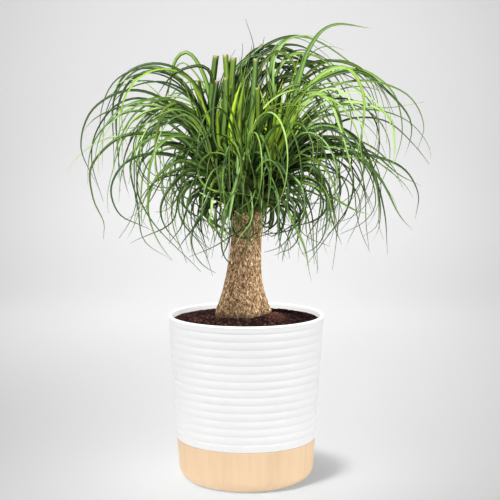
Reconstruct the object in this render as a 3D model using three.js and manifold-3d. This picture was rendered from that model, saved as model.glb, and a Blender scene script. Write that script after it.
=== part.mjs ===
// A potted ponytail palm. A trunk with a swollen foot carries six leafy shoots. It is planted in a
// ribbed white ceramic planter, which stands in a shallow turned wooden base.
// Millimetres, +Z up. The origin is the centre of the base's underside, and -Y is the front.
import * as THREE from "three";
import { mergeVertices } from "three/addons/utils/BufferGeometryUtils.js";
import Module from "manifold-3d";

const wasm = await Module();
wasm.setup();

// Driving dimensions of the planter and its base
const RIM_RADIUS = 80; // outside of the planter at its lip
const PLANTER_TOP = 171.5; // the lip, above the floor
const BASE_RADIUS = 71.5; // outside of the wooden base at its top edge
const BASE_HEIGHT = 43.5; // top edge of the wooden base
const BASE_FOOT_RADIUS = 69.5; // where the base's side would meet the floor
const BASE_FILLET = 15; // rounding of the base's lower edge
const BASE_WALL = 6;
const BASE_FLOOR = 8;
const CLAY_WALL = 4; // at the planter's lip
const CLAY_FLOOR = 6;
const RIB_COUNT = 14;
const RIB_PITCH = 8;
const RIB_DEPTH = 1.1;
const RIB_TOP = 163.5; // highest groove
const SEAT_GAP = 0.3; // between pieces that touch
const TURNED_SIDES = 28; // facets of the turned and thrown pieces

// Soil
const SOIL_EDGE = 166; // level at the planter's wall
const SOIL_MOUND = 6; // rise towards the trunk
const CLOD_HEIGHT = 1.5;
const HEAP = { x: 31, y: -12, height: 3.5, spread: 130 }; // a small pile beside the trunk

// Trunk: height, radius and sideways place of its centre
const TRUNK_SECTIONS = [
  { z: 96, radius: 5, x: -3 },
  { z: 108, radius: 15, x: -3 },
  { z: 130, radius: 25, x: -4 },
  { z: 152, radius: 29.5, x: -4 },
  { z: 166, radius: 29.5, x: -4 },
  { z: 174, radius: 27.5, x: -4 },
  { z: 182, radius: 24.8, x: -3.8 },
  { z: 192, radius: 22, x: -3.6 },
  { z: 204, radius: 19.6, x: -3.2 },
  { z: 222, radius: 17.3, x: -2 },
  { z: 242, radius: 16, x: -0.6 },
  { z: 258, radius: 15.6, x: 0.6 },
  { z: 270, radius: 15.4, x: 1 },
  { z: 279, radius: 11, x: 1 },
];
const TRUNK_SIDES = 18;
const TRUNK_TOES = [
  { angle: 6.0, rise: 0.1, spread: 0.18 },
  { angle: 3.4, rise: 0.08, spread: 0.2 },
]; // where the foot runs out furthest: direction in radians, share of the radius
const STUB_RADIUS = 6.2; // the short branches under the shoots
const STUB_LENGTH = 20;

// Shoots: compass angle round the trunk, in degrees, height of the seat and vigour of the leaves
const SHOOT_SEAT_RADIUS = 15.5; // distance of a shoot's seat from the trunk's centre
const SHOOT_LEAN = 33; // degrees outwards from upright
const SHOOT_LENGTH = 48;
const SHOOT_WIDEST = 7.4;
const SHOOT_SIDES = 8;
const SHOOTS = [
  { name: "shoot_front", compass: 270, seat: 281, vigour: 0.92, seed: 59, upright: 0 },
  { name: "shoot_front_right", compass: 330, seat: 279, vigour: 0.98, seed: 11, upright: 0 },
  { name: "shoot_back_right", compass: 30, seat: 282, vigour: 1.02, seed: 23, upright: 1 },
  { name: "shoot_back", compass: 90, seat: 284, vigour: 1.03, seed: 37, upright: 1 },
  { name: "shoot_back_left", compass: 150, seat: 281, vigour: 0.88, seed: 41, upright: 1 },
  { name: "shoot_front_left", compass: 210, seat: 283, vigour: 0.87, seed: 67, upright: 1 },
];
const SHARE_HALF_ANGLE = 180 / SHOOTS.length; // each shoot's leaves keep to their own share of the crown
const SHARE_MARGIN = 4.2; // leaves stay this far from the next shoot's share

// Leaves
const LEAVES_PER_SHOOT = 19;
const YOUNG_PER_SHOOT = 2; // upright young leaves on the inner side
const FINE_STEPS = 60; // steps along a leaf's curve
const BLADE_SECTIONS = 6; // facets along a long blade
const SHORT_SECTIONS = 5; // and along a short one
const SHORT_LEAF = 190; // length up to which a leaf is short
const PLACED_SECTIONS = 7; // facets along a leaf placed by hand
const LEAF_WIDTH = 4.7;
const LEAF_KEEL = 1.3; // thickness at the middle of the blade
const GOLDEN = 0.6180339887;

// Where the plant is looked at from: how far in front of the axis and how high
const VIEW_DISTANCE = 1320;
const VIEW_HEIGHT = 390;

const radians = THREE.MathUtils.degToRad;

// Repeatable random numbers from 0 to 1
function randomFrom(seed) {
  let state = seed >>> 0;
  return () => {
    state = (state + 0x6d2b79f5) >>> 0;
    let t = state;
    t = Math.imul(t ^ (t >>> 15), t | 1);
    t ^= t + Math.imul(t ^ (t >>> 7), t | 61);
    return ((t ^ (t >>> 14)) >>> 0) / 4294967296;
  };
}

const mix = (a, b, share) => a + (b - a) * share;

function ease(t) {
  const c = Math.min(1, Math.max(0, t));
  return c * c * (3 - 2 * c);
}

// A closed geometry as a solid that can be joined and cut
function solidOf(geometry) {
  const bare = geometry.clone();
  bare.deleteAttribute("normal");
  bare.deleteAttribute("uv");
  const merged = mergeVertices(bare, 1e-4);
  return new wasm.Manifold(
    new wasm.Mesh({
      numProp: 3,
      vertProperties: merged.attributes.position.array,
      triVerts: new Uint32Array(merged.index.array),
    }),
  );
}

function geometryOf(solid) {
  const mesh = solid.getMesh();
  const geometry = new THREE.BufferGeometry();
  geometry.setAttribute("position", new THREE.BufferAttribute(new Float32Array(mesh.vertProperties), 3));
  geometry.setIndex(new THREE.BufferAttribute(new Uint32Array(mesh.triVerts), 1));
  geometry.computeVertexNormals();
  return geometry;
}

// A closed skin over rings of points, which run anticlockwise seen from the last ring. The ends are
// flat, or the skin ends in a point.
function skinOver(rings, point) {
  const sides = rings[0].length;
  const positions = rings.flat().flatMap((p) => [p.x, p.y, p.z]);
  const index = [];
  for (let k = 0; k + 1 < rings.length; k++)
    for (let j = 0; j < sides; j++) {
      const a = k * sides + j;
      const b = k * sides + ((j + 1) % sides);
      index.push(a, b, b + sides, a, b + sides, a + sides);
    }
  const last = (rings.length - 1) * sides;
  for (let j = 1; j + 1 < sides; j++) index.push(0, j + 1, j);
  if (point) {
    positions.push(point.x, point.y, point.z);
    for (let j = 0; j < sides; j++) index.push(last + j, last + ((j + 1) % sides), last + sides);
  } else {
    for (let j = 1; j + 1 < sides; j++) index.push(last, last + j, last + j + 1);
  }
  const geometry = new THREE.BufferGeometry();
  geometry.setAttribute("position", new THREE.Float32BufferAttribute(positions, 3));
  geometry.setIndex(index);
  return geometry;
}

// A solid turned about +Z from an outline of [radius, height] points, lowest point first
function turned(outline, sides = TURNED_SIDES) {
  const points = outline.map(([radius, height]) => new THREE.Vector2(radius, height));
  const geometry = new THREE.LatheGeometry(points, sides).rotateX(Math.PI / 2);
  return solidOf(geometry);
}

// Outline points of a quarter round between two directions, in degrees
function roundCorner(centreRadius, centreHeight, radius, from, to, steps) {
  const points = [];
  for (let i = 0; i <= steps; i++) {
    const angle = radians(mix(from, to, i / steps));
    points.push([centreRadius + radius * Math.cos(angle), centreHeight + radius * Math.sin(angle)]);
  }
  return points;
}

// Wooden base
const baseHollow = BASE_RADIUS - BASE_WALL;

function woodenBase() {
  const outline = [
    [0, 0],
    ...roundCorner(BASE_FOOT_RADIUS - BASE_FILLET, BASE_FILLET, BASE_FILLET, -90, -4, 6),
    [BASE_RADIUS, BASE_HEIGHT - 0.8],
    [BASE_RADIUS - 0.8, BASE_HEIGHT],
    [baseHollow, BASE_HEIGHT],
    [baseHollow - 2, BASE_FLOOR],
    [0, BASE_FLOOR],
  ];
  return turned(outline);
}

// Ceramic planter
function planterRadius(z) {
  return mix(BASE_RADIUS, RIM_RADIUS, (z - BASE_HEIGHT) / (PLANTER_TOP - BASE_HEIGHT));
}

const cavityFloor = BASE_FLOOR + SEAT_GAP + CLAY_FLOOR;
const cavityFloorRadius = baseHollow - 2 - SEAT_GAP - CLAY_WALL;
const cavityRimRadius = RIM_RADIUS - CLAY_WALL;

function cavityRadius(z) {
  return mix(cavityFloorRadius, cavityRimRadius, (z - cavityFloor) / (PLANTER_TOP - cavityFloor));
}

function planter() {
  const shoulder = BASE_HEIGHT + SEAT_GAP;
  const spigot = baseHollow - SEAT_GAP;
  const ribs = [];
  for (let i = RIB_COUNT; i >= 0; i--) {
    const groove = RIB_TOP - i * RIB_PITCH;
    ribs.push([planterRadius(groove) - RIB_DEPTH, groove]);
    if (i === 0) continue;
    for (const share of [0.28, 0.72]) {
      const z = groove + RIB_PITCH * share;
      ribs.push([planterRadius(z), z]);
    }
  }
  const outline = [
    [0, BASE_FLOOR + SEAT_GAP],
    [spigot - 2, BASE_FLOOR + SEAT_GAP],
    [spigot, shoulder],
    [BASE_RADIUS - 0.6, shoulder],
    [planterRadius(shoulder + 1), shoulder + 1],
    [planterRadius(RIB_TOP - RIB_COUNT * RIB_PITCH - 2), RIB_TOP - RIB_COUNT * RIB_PITCH - 2],
    ...ribs,
    [planterRadius(RIB_TOP + 1.8), RIB_TOP + 1.8],
    ...roundCorner(RIM_RADIUS - CLAY_WALL / 2, PLANTER_TOP - CLAY_WALL / 2, CLAY_WALL / 2, 0, 180, 6),
    [cavityFloorRadius, cavityFloor],
    [0, cavityFloor],
  ];
  return turned(outline);
}

// Trunk: rings with flutes that deepen into the flared foot
function trunkRing(section, grow = 0) {
  const ring = [];
  const foot = ease((215 - section.z) / 45);
  for (let j = 0; j < TRUNK_SIDES; j++) {
    const angle = (2 * Math.PI * j) / TRUNK_SIDES;
    const flutes = 0.03 * Math.sin(3 * angle + 0.8) + 0.025 * Math.sin(5 * angle + 2.1);
    const toes = TRUNK_TOES.map((toe) => toe.rise * Math.exp(-((angle - toe.angle) ** 2) / toe.spread));
    const relief = (0.4 + 0.6 * foot) * flutes + foot * (toes[0] + toes[1]);
    const radius = section.radius * (1 + relief) + grow;
    ring.push(new THREE.Vector3(section.x + radius * Math.cos(angle), radius * Math.sin(angle), section.z));
  }
  return ring;
}

function shootAxis(shoot) {
  const compass = radians(shoot.compass);
  const outward = new THREE.Vector3(Math.cos(compass), Math.sin(compass), 0);
  const up = new THREE.Vector3(0, 0, 1);
  const axis = up.clone().multiplyScalar(Math.cos(radians(SHOOT_LEAN)));
  axis.addScaledVector(outward, Math.sin(radians(SHOOT_LEAN)));
  const seat = outward.clone().multiplyScalar(SHOOT_SEAT_RADIUS).setZ(shoot.seat);
  return { axis, seat, outward };
}

// A straight round piece along an axis, from a list of [distance, radius]
function alongAxis(seat, axis, stations, sides) {
  const side = new THREE.Vector3(0, 0, 1).cross(axis).normalize();
  const other = axis.clone().cross(side);
  const rings = stations.map(([distance, radius]) => {
    const centre = seat.clone().addScaledVector(axis, distance);
    return Array.from({ length: sides }, (_, j) => {
      const angle = (2 * Math.PI * j) / sides;
      const point = centre.clone().addScaledVector(side, radius * Math.cos(angle));
      return point.addScaledVector(other, radius * Math.sin(angle));
    });
  });
  return solidOf(skinOver(rings));
}

function trunk() {
  let solid = solidOf(skinOver(TRUNK_SECTIONS.map((section) => trunkRing(section))));
  for (const shoot of SHOOTS) {
    const { axis, seat } = shootAxis(shoot);
    const stations = [
      [-STUB_LENGTH, STUB_RADIUS],
      [-SEAT_GAP, STUB_RADIUS - 0.4],
    ];
    solid = solid.add(alongAxis(seat, axis, stations, SHOOT_SIDES));
  }
  return solid;
}

// Soil: fills the planter, mounded and crumbly on top, with a plain hole for the trunk's foot
function soilHeight(x, y) {
  const radius = Math.hypot(x, y);
  const mound = SOIL_MOUND * ease((62 - radius) / 40);
  const heap = HEAP.height * Math.exp(-((x - HEAP.x) ** 2 + (y - HEAP.y) ** 2) / HEAP.spread);
  const clods = Math.sin(x * 0.61 + 1.3) * Math.sin(y * 0.53 + 0.4) + 0.6 * Math.sin(x * 1.13 - y * 0.87);
  return SOIL_EDGE + mound + heap + CLOD_HEIGHT * 0.6 * clods * ease((72 - radius) / 14);
}

function soil() {
  const sides = TURNED_SIDES;
  const ringAt = (radius, height) =>
    Array.from({ length: sides }, (_, j) => {
      const angle = (2 * Math.PI * j) / sides;
      const x = radius * Math.cos(angle);
      const y = radius * Math.sin(angle);
      return new THREE.Vector3(x, y, height ?? soilHeight(x, y));
    });
  const floor = cavityFloor + SEAT_GAP;
  const inset = SEAT_GAP * 1.3;
  const rings = [floor, SOIL_EDGE].map((height) => ringAt(cavityRadius(height) - inset, height));
  for (const radius of [70, 64, 57, 50, 43, 36, 29, 18]) rings.push(ringAt(radius));
  const filled = solidOf(skinOver(rings, new THREE.Vector3(0, 0, soilHeight(0, 0))));
  const hole = TRUNK_SECTIONS.filter((section) => section.z < 200).map((section) =>
    trunkRing({ ...section, z: section.z - (section.radius < 10 ? 1 : 0) }, 2 * SEAT_GAP),
  );
  return filled.subtract(solidOf(skinOver(hole)));
}

// Leaves: how each one grows. Age 0 is the youngest, at the top of its shoot. Angles are in degrees,
// and the compass is counted from the shoot's own. Lift is how far the tip turns up again, and
// facing is how far the leaf points to the front, where the old leaves are shorter and hang lower
// and the young ones stay upright.
function leafPlans(shoot) {
  const random = randomFrom(shoot.seed);
  const plans = [];
  for (let i = 0; i < LEAVES_PER_SHOOT; i++) {
    const age = (i + 0.5) / LEAVES_PER_SHOOT;
    const turn = ((i + 1) * GOLDEN + 0.13 * shoot.seed) % 1;
    const compass = (2 * turn - 1) * 42;
    const pitchJitter = random() - 0.5;
    const tipJitter = random();
    const lengthJitter = random();
    const bendJitter = random();
    const driftJitter = random() - 0.5;
    const widthJitter = random();
    const lift = 110 * Math.max(0, random() - 0.45) * ease((age - 0.2) / 0.3);
    const facing = ease((-Math.sin(radians(shoot.compass + compass)) - 0.8) / 0.2);
    const upright = facing * Math.max(0, 1 - age / 0.45);
    const grown = (278 - 204 * age) * (0.8 + 0.32 * lengthJitter);
    const curl = (105 - 50 * age) * tipJitter ** 1.6 * (1 - upright);
    plans.push({
      compass,
      lift,
      drift: 30 * driftJitter - 0.45 * compass,
      pitch: 84 - 68 * age ** 1.1 + 10 * pitchJitter - 14 * facing,
      tipPitch: -84 - curl + 8 * age + 14 * facing + 130 * upright,
      length: grown * shoot.vigour * (1 - 0.2 * facing) * (1 - 0.4 * upright),
      bendFrom: 0.16 * (1 - age) + 0.06 * bendJitter,
      bendTo: (lift > 0 ? 0.68 : 0.88) + 0.14 * bendJitter,
      root: mix(0.92, 0.13, age),
      width: LEAF_WIDTH * (0.8 + 0.35 * widthJitter),
      cut: false,
    });
  }
  // Young leaves, nearly upright, that close the middle of the crown
  for (let i = 0; i < YOUNG_PER_SHOOT; i++) {
    plans.push({
      compass: 180 + 30 * (i - 0.5) + 20 * (random() - 0.5),
      lift: 0,
      drift: 0,
      pitch: 88,
      tipPitch: 62 + 14 * random(),
      length: 95 + 30 * random(),
      bendFrom: 0.2,
      bendTo: 1,
      root: 0.9,
      width: LEAF_WIDTH,
      cut: false,
    });
  }
  // Upright leaves whose tips were trimmed off square
  for (let i = 0; i < shoot.upright; i++) {
    plans.push({
      compass: 24 * (random() - 0.5),
      lift: 0,
      drift: 0,
      pitch: 88,
      tipPitch: 76 - 4 * random(),
      length: 92 + 20 * random(),
      bendFrom: 0,
      bendTo: 1,
      root: 0.85,
      width: LEAF_WIDTH * 1.15,
      cut: true,
    });
  }
  return plans;
}

// Leaves that stand out from the crown, each placed by hand: the shoot it grows from, how far in
// front of the axis (-) or behind it (+) its tip lies, its width, the angle at which its face is
// turned to the front, and its way as [x, z], read from the front in the plane of the axis.
function placed(shoot, depth, width, roll, way, cut = false) {
  return { shoot, depth, width, roll, way, cut, root: 0.75 };
}

const PLACED_LEAVES = [
  // over the left of the crown
  placed(
    "shoot_back_left", 32, 4.4, 30,
    [[-47, 395], [-72, 420], [-98, 425], [-122, 415], [-135, 390], [-138, 322]],
  ),
  placed(
    "shoot_back_left", 48, 4.2, 30,
    [[-50, 382], [-72, 409], [-98, 416], [-120, 405], [-134, 372], [-126, 304]],
  ),
  placed(
    "shoot_front_left", -26, 3.8, 25,
    [[-62, 368], [-95, 394], [-125, 397], [-158, 378], [-169, 342], [-150, 303]],
  ),
  placed(
    "shoot_back_left", 22, 3.6, 25,
    [[-70, 374], [-105, 392], [-130, 385], [-150, 356], [-155, 328], [-148, 286]],
  ),
  placed(
    "shoot_front_left", -50, 5, 30,
    [[-70, 350], [-100, 354], [-130, 350], [-159, 322], [-156, 290], [-142, 265], [-142, 248]],
  ),
  placed(
    "shoot_front_left", -64, 4.4, 30,
    [[-72, 331], [-100, 333], [-125, 324], [-139, 300], [-130, 272], [-96, 254]],
  ),
  placed(
    "shoot_back_left", 30, 4.8, 35,
    [[-38, 395], [-49, 424], [-60, 436], [-69, 430], [-78, 404], [-92, 372]],
  ),
  placed(
    "shoot_front_left", -75, 5.2, 55,
    [[-55, 372], [-67, 386], [-82, 380], [-90, 352], [-87, 312], [-74, 292]],
  ),
  placed(
    "shoot_front_left", -72, 5.6, 55,
    [[-58, 318], [-74, 304], [-84, 280], [-82, 258], [-69, 237]],
  ),
  placed(
    "shoot_front_left", -66, 3.8, 30,
    [[-75, 345], [-106, 330], [-112, 300], [-98, 272], [-62, 236], [-43, 215]],
  ),
  placed("shoot_front_left", -25, 5, 50, [[-44, 292], [-38, 275], [-21, 245]]),
  placed(
    "shoot_back_left", 15, 3, 25,
    [[-60, 335], [-100, 353], [-140, 349], [-170, 331], [-184, 317]],
  ),
  // over the right of the crown
  placed(
    "shoot_front_right", -26, 5.2, 35,
    [[42, 360], [52, 405], [62, 441], [76, 461], [92, 467], [126, 461]],
  ),
  placed(
    "shoot_back_right", 44, 4.4, 30,
    [[27, 385], [28, 432], [44, 450], [66, 450], [106, 427], [134, 398]],
  ),
  placed(
    "shoot_back_right", 34, 4.6, 35,
    [[30, 385], [30, 418], [44, 437], [68, 436], [92, 416], [104, 388]],
  ),
  placed("shoot_back", 52, 4.6, 35, [[2, 385], [4, 412], [14, 428], [32, 430], [44, 410]]),
  placed(
    "shoot_back_right", 62, 4.6, 35,
    [[32, 375], [38, 408], [56, 425], [80, 422], [100, 400], [110, 370]],
  ),
  placed(
    "shoot_back_right", 55, 4.8, 30,
    [[45, 380], [66, 407], [92, 419], [120, 421], [150, 398], [157, 360], [146, 325]],
  ),
  placed(
    "shoot_front_right", -32, 5, 35,
    [[50, 385], [85, 415], [118, 420], [145, 398], [164, 366], [156, 334]],
  ),
  placed(
    "shoot_front_right", -45, 3.6, 25,
    [[55, 380], [90, 404], [128, 409], [166, 394], [181, 364], [174, 339]],
  ),
  placed(
    "shoot_front_right", -75, 4.6, 35,
    [[60, 362], [92, 384], [122, 385], [148, 372], [153, 342], [147, 320]],
  ),
  placed("shoot_front_right", -88, 5.2, 55, [[50, 372], [72, 396], [86, 389], [96, 360], [107, 305]]),
  placed(
    "shoot_front_right", -22, 4.8, 30,
    [[60, 327], [90, 333], [120, 333], [160, 320], [177, 294], [175, 269]],
  ),
  placed(
    "shoot_front_right", -80, 4.4, 35,
    [[52, 320], [67, 324], [84, 298], [81, 266], [71, 245], [54, 234]],
  ),
  placed("shoot_back_right", 28, 4.2, 30, [[80, 362], [112, 350], [130, 318], [143, 274], [145, 233]]),
  placed(
    "shoot_front_right", -50, 4.2, 30,
    [[70, 345], [105, 340], [132, 314], [156, 272], [172, 257]],
  ),
  placed("shoot_front_right", -56, 3.8, 40, [[38, 288], [50, 262], [72, 207]]),
  placed("shoot_front_right", -12, 3, 25, [[70, 352], [105, 371], [140, 367], [167, 343], [185, 323]]),
  // trimmed leaves in the middle, and a thin tip behind them
  placed("shoot_front_left", -26, 6, 70, [[-36, 360], [-34, 400], [-30, 434]], true),
  placed("shoot_front", -46, 5.4, 70, [[-20, 370], [-20, 405], [-22, 435]], true),
  placed("shoot_front", -46, 6, 80, [[-14, 370], [-14, 405], [-12, 432]], true),
  placed("shoot_front", -44, 5.4, 60, [[5, 360], [8, 400], [10, 431]], true),
  placed("shoot_front_right", -24, 4.6, 70, [[28, 350], [27, 384]], true),
  placed("shoot_back", 40, 5, 40, [[-6, 380], [-6, 415], [4, 433], [18, 445]], true),
  placed("shoot_back", 20, 2.8, 60, [[4, 380], [6, 425], [5, 448], [1, 471]]),
  // leaves that droop in front of the trunk
  placed("shoot_front", -60, 5.6, 75, [[12, 330], [17, 312], [17, 285], [19, 250]]),
  placed("shoot_front", -62, 5.2, 70, [[2, 346], [-2, 336], [-8, 320], [-15, 282]]),
];

// Share of a leaf's whole bend that is done at a share u of its length
function bendShare(plan, u) {
  const t = (u - plan.bendFrom) / (plan.bendTo - plan.bendFrom);
  return mix(Math.min(1, Math.max(0, t)), ease(t), 0.5);
}

// A point of a leaf, pressed softly towards the middle of its shoot's share of the crown
function keptToShare(shoot, point) {
  const { outward } = shootAxis(shoot);
  const across = new THREE.Vector3(0, 0, 1).cross(outward);
  const out = point.dot(outward);
  const aside = point.dot(across);
  const half = radians(SHARE_HALF_ANGLE);
  const room = Math.max(1, out * Math.tan(half) - SHARE_MARGIN / Math.cos(half));
  const soft = 0.8 * room;
  const over = Math.abs(aside) - soft;
  if (over <= 0) return point.clone();
  const held = Math.sign(aside) * (soft + (room - soft) * (1 - Math.exp(-over / (room - soft))));
  return outward.clone().multiplyScalar(out).addScaledVector(across, held).setZ(point.z);
}

// The curve of a leaf that follows the rule: FINE_STEPS + 1 points from inside its shoot to the tip
function ruledCurve(shoot, plan) {
  const { axis, seat, outward } = shootAxis(shoot);
  const across = new THREE.Vector3(0, 0, 1).cross(outward);
  const step = plan.length / FINE_STEPS;
  const at = seat.clone().addScaledVector(axis, SHOOT_LENGTH * plan.root);
  at.addScaledVector(outward, 2 * Math.cos(radians(plan.compass)));
  at.addScaledVector(across, 4 * Math.sin(radians(plan.compass * 2)));
  const points = [];
  for (let i = 0; i <= FINE_STEPS; i++) {
    points.push(keptToShare(shoot, at));
    const u = i / FINE_STEPS;
    const bent = mix(plan.pitch, plan.tipPitch, bendShare(plan, u));
    const pitch = radians(bent + plan.lift * ease((u - 0.5) / 0.5));
    const heading = radians(plan.compass + plan.drift * u);
    at.addScaledVector(outward, step * Math.cos(pitch) * Math.cos(heading));
    at.addScaledVector(across, step * Math.cos(pitch) * Math.sin(heading));
    at.z += step * Math.sin(pitch);
  }
  return points;
}

// The curve of a leaf placed by hand
function placedCurve(shoot, plan) {
  const { axis, seat } = shootAxis(shoot);
  const knots = [seat.clone().addScaledVector(axis, SHOOT_LENGTH * plan.root)];
  plan.way.forEach(([x, z], i) => {
    const y = mix(knots[0].y, plan.depth, (i + 1) / plan.way.length);
    const share = (VIEW_DISTANCE + y) / VIEW_DISTANCE;
    knots.push(new THREE.Vector3(x * share, y, mix(VIEW_HEIGHT, z, share)));
  });
  const curve = new THREE.CatmullRomCurve3(knots, false, "centripetal");
  return curve.getSpacedPoints(FINE_STEPS).map((point) => keptToShare(shoot, point));
}

function bladeWidth(plan, u) {
  if (plan.cut) return plan.width;
  return plan.width * (0.8 + 0.2 * ease(u / 0.12)) * (1 - u ** 1.7) ** 0.9 + 0.6 * (1 - u);
}

// A leaf as a thin three-sided blade along a curve: two edges and a keel underneath. Its face is
// level across the way it reaches, and a trimmed leaf placed by hand is turned from edge-on.
function blade(curve, plan, sections, roll) {
  const step = FINE_STEPS / sections;
  const knots = Array.from({ length: sections + 1 }, (_, k) => curve[Math.round(k * step)]);
  const reach = knots[sections].clone().sub(knots[0]);
  const level = new THREE.Vector3(-reach.y, reach.x, 0).normalize();
  if (plan.cut && roll) level.set(0, -1, 0);
  const rings = [];
  knots.forEach((point, k) => {
    const before = knots[Math.max(0, k - 1)];
    const after = knots[Math.min(sections, k + 1)];
    const along = after.clone().sub(before).normalize();
    const side = level.clone().addScaledVector(along, -level.dot(along)).normalize();
    side.applyAxisAngle(along, roll);
    const face = along.clone().cross(side);
    const u = k / sections;
    const width = bladeWidth(plan, u);
    const keel = LEAF_KEEL * (plan.cut ? 1 : 1 - 0.45 * u);
    rings.push([
      point.clone().addScaledVector(side, -width / 2),
      point.clone().addScaledVector(face, -keel),
      point.clone().addScaledVector(side, width / 2),
    ]);
  });
  if (plan.cut) return solidOf(skinOver(rings));
  rings.pop();
  return solidOf(skinOver(rings, knots[sections]));
}

// A shoot: its short stout heart, with all its leaves fused to it
function leafyShoot(shoot) {
  const { axis, seat } = shootAxis(shoot);
  const stations = [
    [0, STUB_RADIUS - 0.4],
    [0.35 * SHOOT_LENGTH, SHOOT_WIDEST],
    [0.75 * SHOOT_LENGTH, 0.8 * SHOOT_WIDEST],
    [SHOOT_LENGTH, 0.4 * SHOOT_WIDEST],
  ];
  let solid = alongAxis(seat, axis, stations, SHOOT_SIDES);
  for (const plan of leafPlans(shoot)) {
    const sections = plan.length > SHORT_LEAF ? BLADE_SECTIONS : SHORT_SECTIONS;
    solid = solid.add(blade(ruledCurve(shoot, plan), plan, sections, 0));
  }
  for (const plan of PLACED_LEAVES.filter((leaf) => leaf.shoot === shoot.name)) {
    const sections = plan.cut ? 3 : PLACED_SECTIONS;
    solid = solid.add(blade(placedCurve(shoot, plan), plan, sections, radians(plan.roll)));
  }
  return filledIn(solid);
}

// The outer skin of a solid, so that small pockets shut in between leaves are filled
function filledIn(solid) {
  return solid.decompose().reduce((largest, part) => (part.volume() > largest.volume() ? part : largest));
}

// Materials and the finished plant
const GLAZE = new THREE.MeshStandardMaterial({ color: 0xf3f3f1, roughness: 0.45, metalness: 0 });
const WOOD = new THREE.MeshStandardMaterial({ color: 0xf0cfa2, roughness: 0.6, metalness: 0 });
const EARTH = new THREE.MeshStandardMaterial({ color: 0x3d2620, roughness: 1, metalness: 0 });
const BARK = new THREE.MeshStandardMaterial({ color: 0x9a7b5c, roughness: 0.9, metalness: 0 });
const FOLIAGE = new THREE.MeshStandardMaterial({ color: 0x4f7d2c, roughness: 0.5, metalness: 0 });

const plant = new THREE.Group();

function place(name, solid, material) {
  const mesh = new THREE.Mesh(geometryOf(solid), material);
  mesh.name = name;
  plant.add(mesh);
}

place("wooden_base", woodenBase(), WOOD);
place("planter", planter(), GLAZE);
place("soil", soil(), EARTH);
place("trunk", trunk(), BARK);
for (const shoot of SHOOTS) place(shoot.name, leafyShoot(shoot), FOLIAGE);

export default plant;
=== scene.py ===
import math
from collections import namedtuple

import bpy
import numpy as np
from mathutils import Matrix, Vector, noise


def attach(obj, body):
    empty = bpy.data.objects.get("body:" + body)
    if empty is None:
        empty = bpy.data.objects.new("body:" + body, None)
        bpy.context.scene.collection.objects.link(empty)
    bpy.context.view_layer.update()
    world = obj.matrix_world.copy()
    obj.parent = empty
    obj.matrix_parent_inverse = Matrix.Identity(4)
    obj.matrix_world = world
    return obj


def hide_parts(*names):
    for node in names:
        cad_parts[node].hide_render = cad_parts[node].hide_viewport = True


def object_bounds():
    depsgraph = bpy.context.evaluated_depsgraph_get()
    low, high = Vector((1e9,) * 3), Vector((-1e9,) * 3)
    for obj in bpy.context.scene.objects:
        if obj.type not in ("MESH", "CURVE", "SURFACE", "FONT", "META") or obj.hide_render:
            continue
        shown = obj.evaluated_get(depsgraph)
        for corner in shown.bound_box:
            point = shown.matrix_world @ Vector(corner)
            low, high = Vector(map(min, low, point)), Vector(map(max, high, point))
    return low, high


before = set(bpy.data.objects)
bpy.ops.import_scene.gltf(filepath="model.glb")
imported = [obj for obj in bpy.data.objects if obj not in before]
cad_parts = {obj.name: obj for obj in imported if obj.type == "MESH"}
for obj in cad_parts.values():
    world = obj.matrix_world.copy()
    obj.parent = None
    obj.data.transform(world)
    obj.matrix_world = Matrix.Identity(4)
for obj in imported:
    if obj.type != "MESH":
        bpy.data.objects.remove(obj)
cad_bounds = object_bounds()

MM = 0.001

# Planter and base, as in the solids
RIM_RADIUS = 80
PLANTER_TOP = 171.5
BASE_RADIUS = 71.5
BASE_HEIGHT = 43.5
BASE_FOOT_RADIUS = 69.5
BASE_FILLET = 15
BASE_EDGE = 0.8
BASE_WALL = 6
BASE_FLOOR = 8
CLAY_WALL = 4
CLAY_FLOOR = 6
RIB_COUNT = 14
RIB_PITCH = 8
RIB_DEPTH = 1.1
RIB_TOP = 163.5
SEAT_GAP = 0.3
TURNED_SIDES = 160

# Soil, and the heights of the rows that line the hole for the trunk
SOIL_EDGE = 166
SOIL_MOUND = 6
SOIL_SIDES = 300
SOIL_ROWS = 96
SOIL_AT_TRUNK = 170
HOLE_ROWS = (164, 152, 130, 108, 97)
SOIL_CRUMB = 4.2
HEAP_X = 31
HEAP_Y = -12
HEAP_HEIGHT = 3.5
HEAP_SPREAD = 130

# Trunk sections: height, radius, sideways place
TRUNK_SECTIONS = [
    (96, 5, -3),
    (108, 15, -3),
    (130, 25, -4),
    (152, 29.5, -4),
    (166, 29.5, -4),
    (174, 27.5, -4),
    (182, 24.8, -3.8),
    (192, 22, -3.6),
    (204, 19.6, -3.2),
    (222, 17.3, -2),
    (242, 16, -0.6),
    (258, 15.6, 0.6),
    (270, 15.4, 1),
    (279, 11, 1),
]
# Swellings round its foot: direction in radians, rise and spread
TRUNK_TOES = [(6.0, 0.1, 0.18), (3.4, 0.08, 0.2)]
TRUNK_SIDES = 220
FOOT_TOP = 215
FOOT_FADE = 45
BARK_BOTTOM = 160
BARK_DEPTH = 1.0
BARK_PLATE = 3.4
BARK_SEED = 5
# Below this height the bark is painted darker and its relief is sunk: painted shade where the trunk meets the
# soil
FOOT_SHADE_TOP = 176
STUB_RADIUS = 6.2
STUB_LENGTH = 20
STUB_SIDES = 24

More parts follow.
